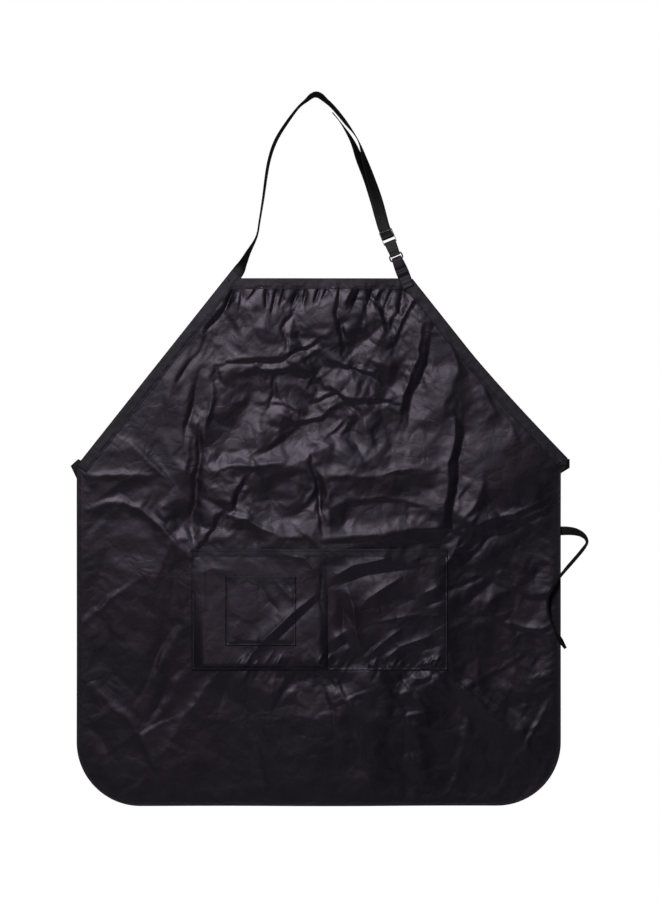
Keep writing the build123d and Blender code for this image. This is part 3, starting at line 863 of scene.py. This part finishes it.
def sharpen(field, passes, amount):
    """Brings out creases that the softer steps have rounded."""
    return field + amount * (field - soften(field, passes))


stray_x, stray_z = wandering(grid_x, grid_z, 0.006)
strength = crumple_map(grid_x, grid_z)
near_edge = smooth_step(edge_distance(grid_x, grid_z), -0.002, 0.022)
right_edge_calm = 1 - 0.85 * smooth_step(grid_x, 0.318, 0.344) * smooth_step(-grid_z, 0.58, 0.62)
under_pocket = smooth_step(np.minimum(
    np.minimum(grid_x - POCKET_X[0], POCKET_X[1] - grid_x),
    np.minimum(grid_z - POCKET_Z[0], POCKET_Z[1] - grid_z),
), 0.0, 0.025)
held = (0.25 + 0.75 * near_edge) * right_edge_calm * (1 - 0.7 * under_pocket)
folds = fold_relief(FOLDS, grid_x, grid_z)
folds += fold_relief(BANDS, grid_x, grid_z, BAND_WIDTHS)
folds += fold_relief(STREAKS, grid_x, grid_z, STREAK_WIDTHS)
relief = displaced(folds, stray_x, stray_z)
relief += soften(facet_relief(0.060, 0.0036, SEED, grid_x, grid_z), 2) * (0.10 + 0.90 * strength)
relief *= held
relief += hanging_waves(grid_x, grid_z) * right_edge_calm
relief = relief + simulate(relief, np.clip(strength * (1 - 0.7 * under_pocket) - 0.10, 0, 1))
relief += fold_relief(gathers(), grid_x, grid_z)
relief += facet_relief(0.030, 0.0036, SEED + 1, grid_x, grid_z) * strength * held
relief += facet_relief(0.013, 0.0013, SEED + 2, grid_x, grid_z) * strength * held
relief = sharpen(relief, 4, 0.3)
DEPTH = FOLD_LIMIT * np.tanh(relief / FOLD_LIMIT)


def depth_at(x, z):
    """The cloth's depth at any place, from the nearest place in the field."""
    column = np.clip((np.asarray(x, float) - FIELD_X[0]) / FIELD_STEP, 0, columns - 1.001)
    row = np.clip((np.asarray(z, float) - FIELD_Z[0]) / FIELD_STEP, 0, rows - 1.001)
    c, r = column.astype(int), row.astype(int)
    u, v = column - c, row - r
    return (
        DEPTH[r, c] * (1 - u) * (1 - v) + DEPTH[r, c + 1] * u * (1 - v)
        + DEPTH[r + 1, c] * (1 - u) * v + DEPTH[r + 1, c + 1] * u * v
    )


# ---- Panel ----


def thicken(piece, thickness):
    solidify = piece.modifiers.new("thickness", "SOLIDIFY")
    solidify.thickness = thickness
    solidify.offset = 0.0
    return piece


def sheet_mesh(name, x, z, depth, material):
    points = np.stack([x, -depth, z], axis=-1).reshape(-1, 3)
    return add_mesh(name, points, grid_faces(*x.shape), material)


PANEL_ROWS, PANEL_COLUMNS = 340, 312
row_z = np.linspace(BOTTOM, BIB_TOP, PANEL_ROWS)
span = np.linspace(-1, 1, PANEL_COLUMNS)
panel_z = np.repeat(row_z[:, None], PANEL_COLUMNS, axis=1)
left_x = PANEL_X - half_width(row_z)
right_x = PANEL_X + half_width(row_z) + flare(row_z)
panel_x = left_x[:, None] + (right_x - left_x)[:, None] * (span[None, :] + 1) / 2
panel = sheet_mesh("panel", panel_x, panel_z, depth_at(panel_x, panel_z), PANEL_NYLON)
thicken(panel, CLOTH_T)


# ---- Folded bands: hems and bindings ----


def folded_band(name, edge, inward, width, half_t, material, seed, pucker=0.0004):
    """A band folded over an edge, front and back, with a stitched groove near its inner edge."""
    edge, inward = np.array(edge, float), np.array(inward, float)
    places = np.concatenate([[0], np.cumsum(np.linalg.norm(np.diff(edge, axis=0), axis=1))])
    across = np.array([0.0, 0.03, 0.08, 0.2, 0.35, 0.5, 0.65, 0.76, 0.83, 0.88, 0.93, 0.985, 1.0])
    seam = max(1 - 0.0025 / width, 0.55)
    rounding = np.sqrt(np.clip(1 - (1 - np.clip(across * width / 0.0010, 0, 1)) ** 2, 0, 1))
    groove = 1 - 0.45 * np.exp(-(((across - seam) * width / 0.0009) ** 2))
    thickness = half_t * np.clip(rounding, 0.12, 1) * groove
    thickness[-1] *= 0.35
    front, back = [], []
    for share, half in zip(across, thickness):
        x = edge[:, 0] + inward[:, 0] * share * width
        z = edge[:, 1] + inward[:, 1] * share * width
        ripple = [
            noise.noise(Vector((s * 95, share * 2.2, seed))) + 0.6 * noise.noise(Vector((s * 260, share * 4, seed)))
            for s in places
        ]
        wave = pucker * np.array(ripple) * (0.4 + share)
        centre = depth_at(x, z) + wave
        front.append(np.stack([x, -(centre + half), z], axis=1))
        back.append(np.stack([x, -(centre - half), z], axis=1))
    section = front + back[::-1][:-1]
    points = np.stack(section, axis=1).reshape(-1, 3)
    return add_mesh(name, points, tube_faces(len(edge), len(section)), material)


def slant_line(side, start, out, spacing=0.002):
    """Points down one slanting edge, from start along it, out from the cut edge, with its inward direction."""
    run = np.array([HALF_W - BIB_HALF_W, WAIST - BIB_TOP])
    length = np.linalg.norm(run)
    along = run / length
    outward = np.array([-along[1], along[0]])
    places = np.linspace(start, length, int((length - start) / spacing) + 1)
    points = np.array([BIB_HALF_W, BIB_TOP]) + places[:, None] * along + out * outward
    points[:, 0] = PANEL_X + side * points[:, 0]
    if side > 0:
        points[:, 0] += flare(points[:, 1])
    tangent = unit(np.gradient(points, axis=0))
    inward = side * np.stack([tangent[:, 1], -tangent[:, 0]], axis=1)
    return points, inward


def skirt_line(out, spacing=0.002):
    """Down the left side, along the bottom and up the right side, with its inward direction."""
    half, low = HALF_W - CORNER_R, BOTTOM + CORNER_R
    points, inward = [], []
    for z in np.arange(WAIST, low, -spacing):
        points.append((PANEL_X - HALF_W - out, z))
        inward.append((1.0, 0.0))
    for turn in np.linspace(0, math.pi / 2, int(CORNER_R * math.pi / 2 / spacing)):
        direction = np.array([-math.cos(turn), -math.sin(turn)])
        points.append(np.array([PANEL_X - half, low]) + direction * (CORNER_R + out))
        inward.append(-direction)
    for x in np.arange(PANEL_X - half + spacing, PANEL_X + half - spacing / 2, spacing):
        points.append((x, BOTTOM - out))
        inward.append((0.0, 1.0))
    mirrored = [(2 * PANEL_X - x, z) for x, z in points]
    corner_start = sum(1 for p in points if p[0] < PANEL_X - half - 1e-9 or p[1] > low)
    tail = [(p, (-i[0], i[1])) for p, i in zip(mirrored[:corner_start], inward[:corner_start])]
    for (x, z), i in reversed(tail):
        points.append((x + flare(z), z))
        inward.append(i)
    return np.array(points), np.array(inward)


left_edge, left_in = slant_line(-1, -EAR, PROUD)
right_edge, right_in = slant_line(1, 0.0, PROUD)
binding_left = folded_band("binding_left", left_edge, left_in, BINDING_W, 0.0010, BINDING_TAPE, 1.0)
binding_right = folded_band("binding_right", right_edge, right_in, BINDING_W, 0.0010, BINDING_TAPE, 2.0)
top_x = np.arange(PANEL_X - BIB_HALF_W + 0.004, PANEL_X + BIB_HALF_W - 0.004, 0.002)
top_edge = np.stack([top_x, np.full(top_x.shape, BIB_TOP + PROUD)], axis=1)
top_in = np.tile([0.0, -1.0], (len(top_x), 1))
bib_hem = folded_band("bib_hem_band", top_edge, top_in, BIB_HEM_W, 0.0009, HEM_NYLON, 3.0, 0.0006)
hem_edge, hem_in = skirt_line(PROUD)
edge_hem = folded_band("edge_hem_band", hem_edge, hem_in, EDGE_HEM_W, 0.0008, HEM_NYLON, 4.0, 0.0003)


# ---- Pockets ----


def pocket_mesh(name, across, up, base, bulge, folded, seams, seed):
    """A patch pocket's front: sewn down at its sides, bottom and seams, standing a little open at its top."""
    spacing = 0.0012
    x_line = np.linspace(*across, int((across[1] - across[0]) / spacing) + 1)
    z_line = np.linspace(*up, int((up[1] - up[0]) / spacing) + 1)
    x, z = np.meshgrid(x_line, z_line)
    edge = np.minimum(np.minimum(x - across[0], across[1] - x), z - up[0])
    sewn = np.minimum(np.minimum(x - across[0], across[1] - x), 2.2 * (z - up[0]))
    for seam in seams:
        sewn = np.minimum(sewn, 0.007 + np.abs(x - seam))
    free = smooth_step(sewn, -0.002, 0.020)
    turned = 0.0005 * np.exp(-(((edge - 0.0012) / 0.0009) ** 2))
    turned -= 0.0004 * np.exp(-(((edge - 0.0028) / 0.0009) ** 2))
    own = folded * fold_relief(POCKET_FOLDS + pocket_puckers(), x, z, POCKET_WIDTHS)
    creased = np.where(x < DIVIDER_X, 0.5, 1.0)
    own += (facet_relief(0.034, 0.0010, seed, x, z) + facet_relief(0.014, 0.0006, seed + 1, x, z)) * creased
    height = (z - up[0]) / (up[1] - up[0])
    lean = np.where(x < DIVIDER_X, 1.8 - 1.6 * height, 0.15 + 0.45 * height)
    lift = 0.0011 + bulge * free * lean + own * (0.25 + 0.75 * free) + turned
    depth = base(x, z) + np.maximum(lift, 0.0006)
    piece = thicken(sheet_mesh(name, x, z, depth, POCKET_NYLON), CLOTH_T)
    return piece, (x_line, z_line, depth)


def reader(line_x, line_z, depth):
    """Reads a pocket's depth at any place."""
    def read(x, z):
        column = np.clip((np.asarray(x, float) - line_x[0]) / (line_x[1] - line_x[0]), 0, len(line_x) - 1.001)
        row = np.clip((np.asarray(z, float) - line_z[0]) / (line_z[1] - line_z[0]), 0, len(line_z) - 1.001)
        c, r = column.astype(int), row.astype(int)
        u, v = column - c, row - r
        return (
            depth[r, c] * (1 - u) * (1 - v) + depth[r, c + 1] * u * (1 - v)
            + depth[r + 1, c] * (1 - u) * v + depth[r + 1, c + 1] * u * v
        )
    return read


def behind_pocket(x, z):
    """The panel's depth with its hollows partly bridged, as a pocket's cloth spans them."""
    depth = depth_at(x, z)
    return np.maximum(depth, 0.6 * depth)


pocket, pocket_field = pocket_mesh(
    "pocket", POCKET_X, POCKET_Z, behind_pocket, 0.0040, 1.0, [DIVIDER_X], 21)
pocket_depth = reader(*pocket_field)
small, small_field = pocket_mesh(
    "small_pocket_front", SMALL_X, SMALL_Z, pocket_depth, 0.0008, 0.15, [], 31)
small_depth = reader(*small_field)


def pocket_band(name, across, top, read, seed):
    """The hem turned over a pocket's top edge."""
    x = np.arange(across[0] + 0.001, across[1] - 0.0005, 0.002)
    width, half_t = POCKET_HEM_W, 0.0006
    share = np.array([0.0, 0.04, 0.1, 0.3, 0.5, 0.7, 0.8, 0.86, 0.92, 0.98, 1.0])
    rounding = np.sqrt(np.clip(1 - (1 - np.clip(share * width / 0.0008, 0, 1)) ** 2, 0.02, 1))
    groove = (1 - 0.4 * np.exp(-(((share - 0.3) * width / 0.0009) ** 2))) * (1 - 0.75 * share**2)
    front, back = [], []
    for place, half in zip(share, half_t * rounding * groove):
        z = np.full(x.shape, top + PROUD - place * width)
        ripple = np.array([noise.noise(Vector((s * 120, place * 2, seed))) for s in x]) * 0.0004
        centre = read(x, np.minimum(z, top)) + ripple * (0.3 + place)
        front.append(np.stack([x, -(centre + half + 0.0002), z], axis=1))
        back.append(np.stack([x, -(centre - half), z], axis=1))
    section = front + back[::-1][:-1]
    points = np.stack(section, axis=1).reshape(-1, 3)
    return add_mesh(name, points, tube_faces(len(x), len(section)), HEM_NYLON)


pocket_band_wide = pocket_band("pocket_hem_band", POCKET_X, POCKET_Z[1], pocket_depth, 5.0)
pocket_band_small = pocket_band("small_pocket_hem_band", SMALL_X, SMALL_Z[1], small_depth, 6.0)


# ---- Stitches and tacks ----


def stitch_mesh(name, runs, pitch=0.0030, length=0.0023, radius=0.00022):
    """Thread lying on the cloth: one small capsule a stitch, along each run of (x, depth, z) points."""
    points, faces = [], []
    around = 6
    profile = [(-0.5, 0.25), (-0.4, 0.85), (0.0, 1.0), (0.4, 0.85), (0.5, 0.25)]
    for run in runs:
        line = evenly(run, pitch)
        for start, end in zip(line[:-1], line[1:]):
            middle = (start + end) / 2
            along = unit(end - start)
            side = unit(np.cross(along, [0.0, 1.0, 0.0]))
            up = np.cross(side, along)
            first = len(points)
            for place, girth in profile:
                for step in range(around):
                    angle = math.tau * step / around
                    spoke = side * math.cos(angle) + up * math.sin(angle)
                    points.append(middle + along * place * length + spoke * radius * girth)
            for face in tube_faces(len(profile), around):
                faces.append([first + index for index in face])
    return add_mesh(name, points, faces, THREAD)


def on_surface(x, z, read, lift):
    x, z = np.asarray(x, float), np.asarray(z, float)
    return np.stack([x, -(read(x, z) + lift), z], axis=1)


def band_seam(edge, inward, inset, lift, sides=(1,)):
    place = edge + inward * inset
    depth = depth_at(place[:, 0], place[:, 1])
    return [np.stack([place[:, 0], -(depth + side * lift), place[:, 1]], axis=1) for side in sides]


seams = []
for edge, inward, width in (
    (left_edge, left_in, BINDING_W),
    (right_edge, right_in, BINDING_W),
    (top_edge, top_in, BIB_HEM_W),
    (hem_edge, hem_in, EDGE_HEM_W),
):
    seams += band_seam(edge, inward, width - 0.0025, 0.0007, (1, -1))
hem_stitches = stitch_mesh("hem_stitches", seams)

pocket_runs = []
for read, across, up, dividers in (
    (pocket_depth, POCKET_X, POCKET_Z, [DIVIDER_X]),
    (small_depth, SMALL_X, SMALL_Z, []),
):
    inset = 0.0025
    bottom = np.arange(across[0] + inset, across[1] - inset, 0.002)
    pocket_runs.append(on_surface(bottom, np.full(bottom.shape, up[0] + inset), read, 0.0003))
    top = np.arange(across[0] + inset, across[1] - inset, 0.002)
    pocket_runs.append(on_surface(top, np.full(top.shape, up[1] - 0.0028), read, 0.0009))
    upright = np.arange(up[0] + inset, up[1], 0.002)
    for x in [across[0] + inset, across[1] - inset] + dividers:
        pocket_runs.append(on_surface(np.full(upright.shape, x), upright, read, 0.0003))
pocket_stitches = stitch_mesh("pocket_stitches", pocket_runs)


def tack_runs(x, z, read):
    """A bar tack: close zigzag threads across a short bar, 9 mm wide and 2 mm high."""
    runs = []
    for step in range(13):
        at = x - 0.0042 + 0.0007 * step
        lean = 0.0002 if step % 2 else -0.0002
        runs.append(on_surface([at - lean, at + lean], [z - 0.0010, z + 0.0010], read, 0.0013))
    return runs


tacks = []
for x in (POCKET_X[0] + 0.0057, DIVIDER_X, POCKET_X[1] - 0.0057):
    tacks += tack_runs(x, POCKET_Z[1] - 0.002, pocket_depth)
for x in (SMALL_X[0] + 0.0057, SMALL_X[1] - 0.0057):
    tacks += tack_runs(x, SMALL_Z[1] - 0.002, small_depth)
bar_tacks = stitch_mesh("tack_threads", tacks, pitch=0.0021, length=0.0022, radius=0.0003)


# ---- Neck strap, from its sewn end over the peg, round the adjuster's middle bar and back up ----

LEAN_UP = Vector((-math.sin(BUCKLE_TILT), 0, math.cos(BUCKLE_TILT)))
LEAN_ACROSS = Vector((math.cos(BUCKLE_TILT), 0, math.sin(BUCKLE_TILT)))


def on_buckle(up, forward):
    return tuple(RING_PIVOT + LEAN_UP * up - Vector((0, forward, 0)))


def slant_place(side, along, out):
    run = Vector((HALF_W - BIB_HALF_W, WAIST - BIB_TOP)).normalized()
    outward = Vector((-run.y, run.x))
    place = Vector((BIB_HALF_W, BIB_TOP)) + run * along + outward * out
    return PANEL_X + side * place.x, place.y


BACK_OF_EAR = 0.00195    # the strap's middle, behind the binding
sewn_low = slant_place(-1, 0.020 - EAR, PROUD - STRAP_W / 2)
sewn_high = slant_place(-1, -EAR, PROUD - STRAP_W / 2)
# (x, y, z, turn): at turn 0 the face shows, at 90 the edge does
STRAP = [
    (sewn_low[0], BACK_OF_EAR, sewn_low[1], 0),
    (sewn_high[0], BACK_OF_EAR, sewn_high[1], 0),
    (-0.106, 0.0015, -0.248, 42),
    (-0.099, 0.001, -0.234, 62),
    (-0.086, 0.000, -0.209, 80),
    (-0.0815, 0.000, -0.185, 81),
    (-0.077, 0.000, -0.157, 79),
    (-0.068, 0.000, -0.099, 74),
    (-0.058, 0.000, -0.070, 71),
    (-0.041, 0.000, -0.0425, 72),
    (-0.024, 0.000, -0.0206, 74),
    (-0.0144, 0.000, -0.0125, 68),
    (-0.0052, 0.000, -0.0050, 58),
    (0.0000, 0.000, -0.0036, 52),
    (0.0052, 0.000, -0.0050, 54),
    (0.0144, 0.000, -0.0125, 62),
    (0.024, 0.000, -0.0212, 66),
    (0.042, 0.000, -0.0430, 70),
    (0.061, 0.000, -0.070, 84),
    (0.071, 0.000, -0.099, 62),
    (0.080, 0.000, -0.128, 40),
    (0.0885, 0.000, -0.157, 20),
    (*on_buckle(WEAVE_TOP, -0.00045), 0),
    (*on_buckle(0.0427, -0.00045), 0),
    (*on_buckle(0.0380, 0.0019), 0),
    (*on_buckle(0.0357, 0.00235), 0),
    (*on_buckle(0.03404, 0.00166), 0),
    (*on_buckle(0.03335, 0.0), 0),
    (*on_buckle(0.03404, -0.00166), 0),
    (*on_buckle(0.0357, -0.00235), 0),
    (*on_buckle(0.0400, -0.00225), 0),
    (*on_buckle(WEAVE_TOP, -0.00205), 0),
    (0.0865, 0.0025, -0.157, -20),
    (0.076, 0.003, -0.128, -38),
    (0.064, 0.003, -0.099, -48),
    (0.052, 0.001, -0.070, -68),
    (0.034, 0.000, -0.042, -85),
    (0.024, 0.000, -0.030, -88),
]


def strap_mesh():
    stations = np.array(STRAP, float)
    run = unit(np.gradient(stations[:, :3], axis=0))
    level = np.cross([0.0, 1.0, 0.0], run)
    buckle = len(STRAP) - 7
    for index in range(buckle - 9, buckle + 1):
        level[index] = -np.array(LEAN_ACROSS)
    level = unit(level)
    turn = np.radians(stations[:, 3])[:, None]
    across = level * np.cos(turn) - np.array([0.0, 1.0, 0.0]) * np.sin(turn)
    for index in range(1, len(across)):
        if across[index] @ across[index - 1] < 0:
            across[index] *= -1
    line = through(np.hstack([stations[:, :3], across]), 0.0006)
    return ribbon("strap", line[:, :3], line[:, 3:], STRAP_W, STRAP_T, 0.0022, STRAP_WEB)


strap = strap_mesh()


# ---- Link and ring tab ----


def band_loop(name, profile, widths, thickness, rib, material, rumple=0.0, seed=0.0):
    """A flat band bent along a profile of (up the buckle, forward) points, square to the buckle's line."""
    stations = [(*on_buckle(up, forward), width) for (up, forward), width in zip(profile, widths)]
    line = through(stations, 0.0006)
    if rumple:
        for index, place in enumerate(line):
            clear_of_wire = smooth_step((Vector(place[:3]) - RING_PIVOT).length, 0.007, 0.018)
            place[1] += rumple * clear_of_wire * noise.noise(Vector((index * 0.09, seed, 0.0)))
    across = np.tile(np.array(LEAN_ACROSS), (len(line), 1))
    return ribbon(name, line[:, :3], across, line[:, 3], thickness, rib, material)


link_r = 0.00205
link_profile = [(RING_TOP + 0.004, link_r), (LOW_BAR - 0.002, link_r)]
for angle in (90, 45, 0, -45, -90):
    turn = math.radians(angle)
    link_profile.append((LOW_BAR + link_r * math.cos(turn), link_r * math.sin(turn)))
link_profile += [(LOW_BAR - 0.003, -link_r), (RING_TOP + 0.003, -link_r)]
for angle in (-90, -45, 0, 45, 90):
    turn = math.radians(angle)
    link_profile.append((RING_TOP - link_r * math.cos(turn), link_r * math.sin(turn)))
link_profile += [(RING_TOP + 0.0032, link_r)]
link_widths = [0.0148 + 0.0024 * (up - RING_TOP) / (LOW_BAR - RING_TOP) for up, _ in link_profile]
link = band_loop("link_band", link_profile, link_widths, STRAP_T, 0.0020, LINK_WEB)

tab_profile = [
    (-0.044, 0.0022), (-0.034, 0.0021), (-0.024, 0.0022), (-0.014, 0.0032), (-0.006, 0.0040),
    (0.0, 0.0040), (0.0027, 0.0029), (0.0039, 0.0), (0.0027, -0.0029), (0.0, -0.0040),
    (-0.006, -0.0040), (-0.014, -0.0032), (-0.024, -0.0022), (-0.034, -0.0021), (-0.044, -0.0022),
]
tab_widths = [0.0165, 0.0175, 0.0182, 0.0180, 0.0165, 0.0150, 0.0142, 0.0140]
tab_widths += tab_widths[-2::-1]
tab = band_loop("tab_band", tab_profile, tab_widths, 0.0011, 0.0017, BINDING_TAPE, 0.0024, 8.0)


# ---- Tie tabs: the ties' folded ends at the side corners ----


TAB_FACE = 0.0015        # the folded tape's front and back, measured behind the cloth's plane
TAB_BACK = 0.0028
TAB_OUTLINES = {
    "tie_tab_left": [(-0.356, -0.542), (-0.345, -0.532), (-0.329, -0.541), (-0.329, -0.555), (-0.346, -0.563)],
    "tie_tab_right": [
        (0.368, -0.532), (0.368, -0.545), (0.355, -0.553), (0.338, -0.556), (0.338, -0.541), (0.346, -0.531),
    ],
}


def tie_tab(name):
    """A folded end of tape: a thin pad with a rounded rim, its two plies parted by a groove."""
    outline = np.array(TAB_OUTLINES[name])
    rim = evenly(np.vstack([outline, outline[:1]]), 0.0012)[:-1]
    middle = rim.mean(0)
    rings = []
    for depth, share in ((0.0, 0.30), (0.0, 0.62), (0.04, 0.90), (0.22, 0.985), (0.40, 1.0), (0.50, 0.965),
                         (0.60, 1.0), (0.78, 0.985), (0.96, 0.90), (1.0, 0.62), (1.0, 0.30)):
        place = middle + (rim - middle) * share
        y = np.full(len(rim), TAB_FACE + (TAB_BACK - TAB_FACE) * depth)
        rings.append(np.stack([place[:, 0], y, place[:, 1]], axis=1))
    return add_mesh(name + "_tape", np.concatenate(rings), tube_faces(len(rings), len(rim)), TIE_TAPE)


tab_left = tie_tab("tie_tab_left")
tab_right = tie_tab("tie_tab_right")


# ---- Each piece's body and CAD nodes; the listed slot names are not used ----

PIECES = [
    (panel, "coated_nylon", ["apron_panel"]),
    (binding_left, "binding_tape", ["armhole_binding_left"]),
    (binding_right, "binding_tape", ["armhole_binding_right"]),
    (bib_hem, "hem_nylon", ["bib_hem"]),
    (edge_hem, "hem_nylon", ["edge_hem"]),
    (pocket, "pocket_nylon", ["pocket_panel"]),
    (small, "pocket_nylon", ["small_pocket"]),
    (pocket_band_wide, "hem_nylon", ["pocket_hem"]),
    (pocket_band_small, "hem_nylon", ["small_pocket_hem"]),
    (hem_stitches, "thread", []),
    (pocket_stitches, "thread", []),
    (bar_tacks, "thread", ["bar_tacks"]),
    (tab, "binding_tape", ["ring_tab"]),
    (tab_left, "tie_tape", ["tie_tab_left"]),
    (tab_right, "tie_tape", ["tie_tab_right"]),
]
for piece, slot_name, nodes in PIECES:
    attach(piece, "apron")
    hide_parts(*nodes)
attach(link, "link")
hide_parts("link_loop")

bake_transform(strap)
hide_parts("neck_strap", "strap_end")

for node in ("ring", "adjuster"):
    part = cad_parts[node]
    part.data.materials.clear()
    part.data.materials.append(WIRE)


# ---- Floor, world and lights ----

floor_material, floor_tree, floor_shader, floor_coords = new_material("floor", 0.7)
floor_grain = noise_texture(floor_tree, floor_coords, 3.0)
floor_tree.links.new(
    ramp(floor_tree, floor_grain, [(0.3, (0.80, 0.80, 0.80)), (0.7, (0.84, 0.84, 0.83))]),
    floor_shader.inputs["Base Color"],
)
glow = floor_tree.nodes.new("ShaderNodeMath")
glow.operation = "MULTIPLY"
glow.inputs[1].default_value = 0.45
floor_tree.links.new(floor_tree.nodes.new("ShaderNodeLightPath").outputs["Is Camera Ray"], glow.inputs[0])
floor_tree.links.new(glow.outputs["Value"], floor_shader.inputs["Emission Strength"])
floor_shader.inputs["Emission Color"].default_value = (1.0, 1.0, 1.0, 1.0)
FLOOR_Z = -1.6
floor_half = 2.2
floor_points = [(x, y, FLOOR_Z) for x, y in ((-1, -1), (1, -1), (1, 1), (-1, 1))]
floor_points = [(x * floor_half, y * floor_half, z) for x, y, z in floor_points]
floor = add_mesh("floor", floor_points, [(0, 1, 2, 3)], floor_material, smooth=False)

world = bpy.data.worlds.new("studio")
bpy.context.scene.world = world
world.use_nodes = True
tree = world.node_tree
plain = tree.nodes["Background"]
plain.inputs["Color"].default_value = (1.0, 1.0, 1.0, 1.0)
plain.inputs["Strength"].default_value = 1.0
soft = tree.nodes.new("ShaderNodeBackground")
soft.inputs["Color"].default_value = (0.92, 0.95, 1.0, 1.0)
soft.inputs["Strength"].default_value = 0.012
seen = tree.nodes.new("ShaderNodeLightPath")
mix = tree.nodes.new("ShaderNodeMixShader")
tree.links.new(seen.outputs["Is Camera Ray"], mix.inputs["Fac"])
tree.links.new(soft.outputs["Background"], mix.inputs[1])
tree.links.new(plain.outputs["Background"], mix.inputs[2])
tree.links.new(mix.outputs["Shader"], tree.nodes["World Output"].inputs["Surface"])

# (name, place, aimed at, size, power, colour)
LIGHTS = [
    ("key", (-0.52, -2.5, 0.46), (0.0, 0.0, -0.6), 0.46, 31.0, (1.0, 0.98, 1.0)),
    ("top", (0.4, -1.4, 1.2), (0.0, 0.0, -0.5), 0.6, 5.0, (0.88, 0.95, 1.0)),
    ("fill", (1.9, -1.6, -0.2), (0.1, 0.0, -0.6), 0.8, 0.8, (1.0, 0.97, 0.98)),
    ("back", (0.2, 2.5, -0.4), (0.0, 0.0, -0.6), 1.0, 14.0, (1.0, 1.0, 1.0)),
]
for name, place, aim, size, power, colour in LIGHTS:
    light = bpy.data.lights.new(name, "AREA")
    light.size = size
    light.energy = power
    light.color = colour
    lamp = bpy.data.objects.new(name, light)
    lamp.location = place
    lamp.rotation_euler = (Vector(aim) - Vector(place)).to_track_quat("-Z", "Y").to_euler()
    bpy.context.scene.collection.objects.link(lamp)

bpy.context.scene.view_settings.view_transform = "Standard"
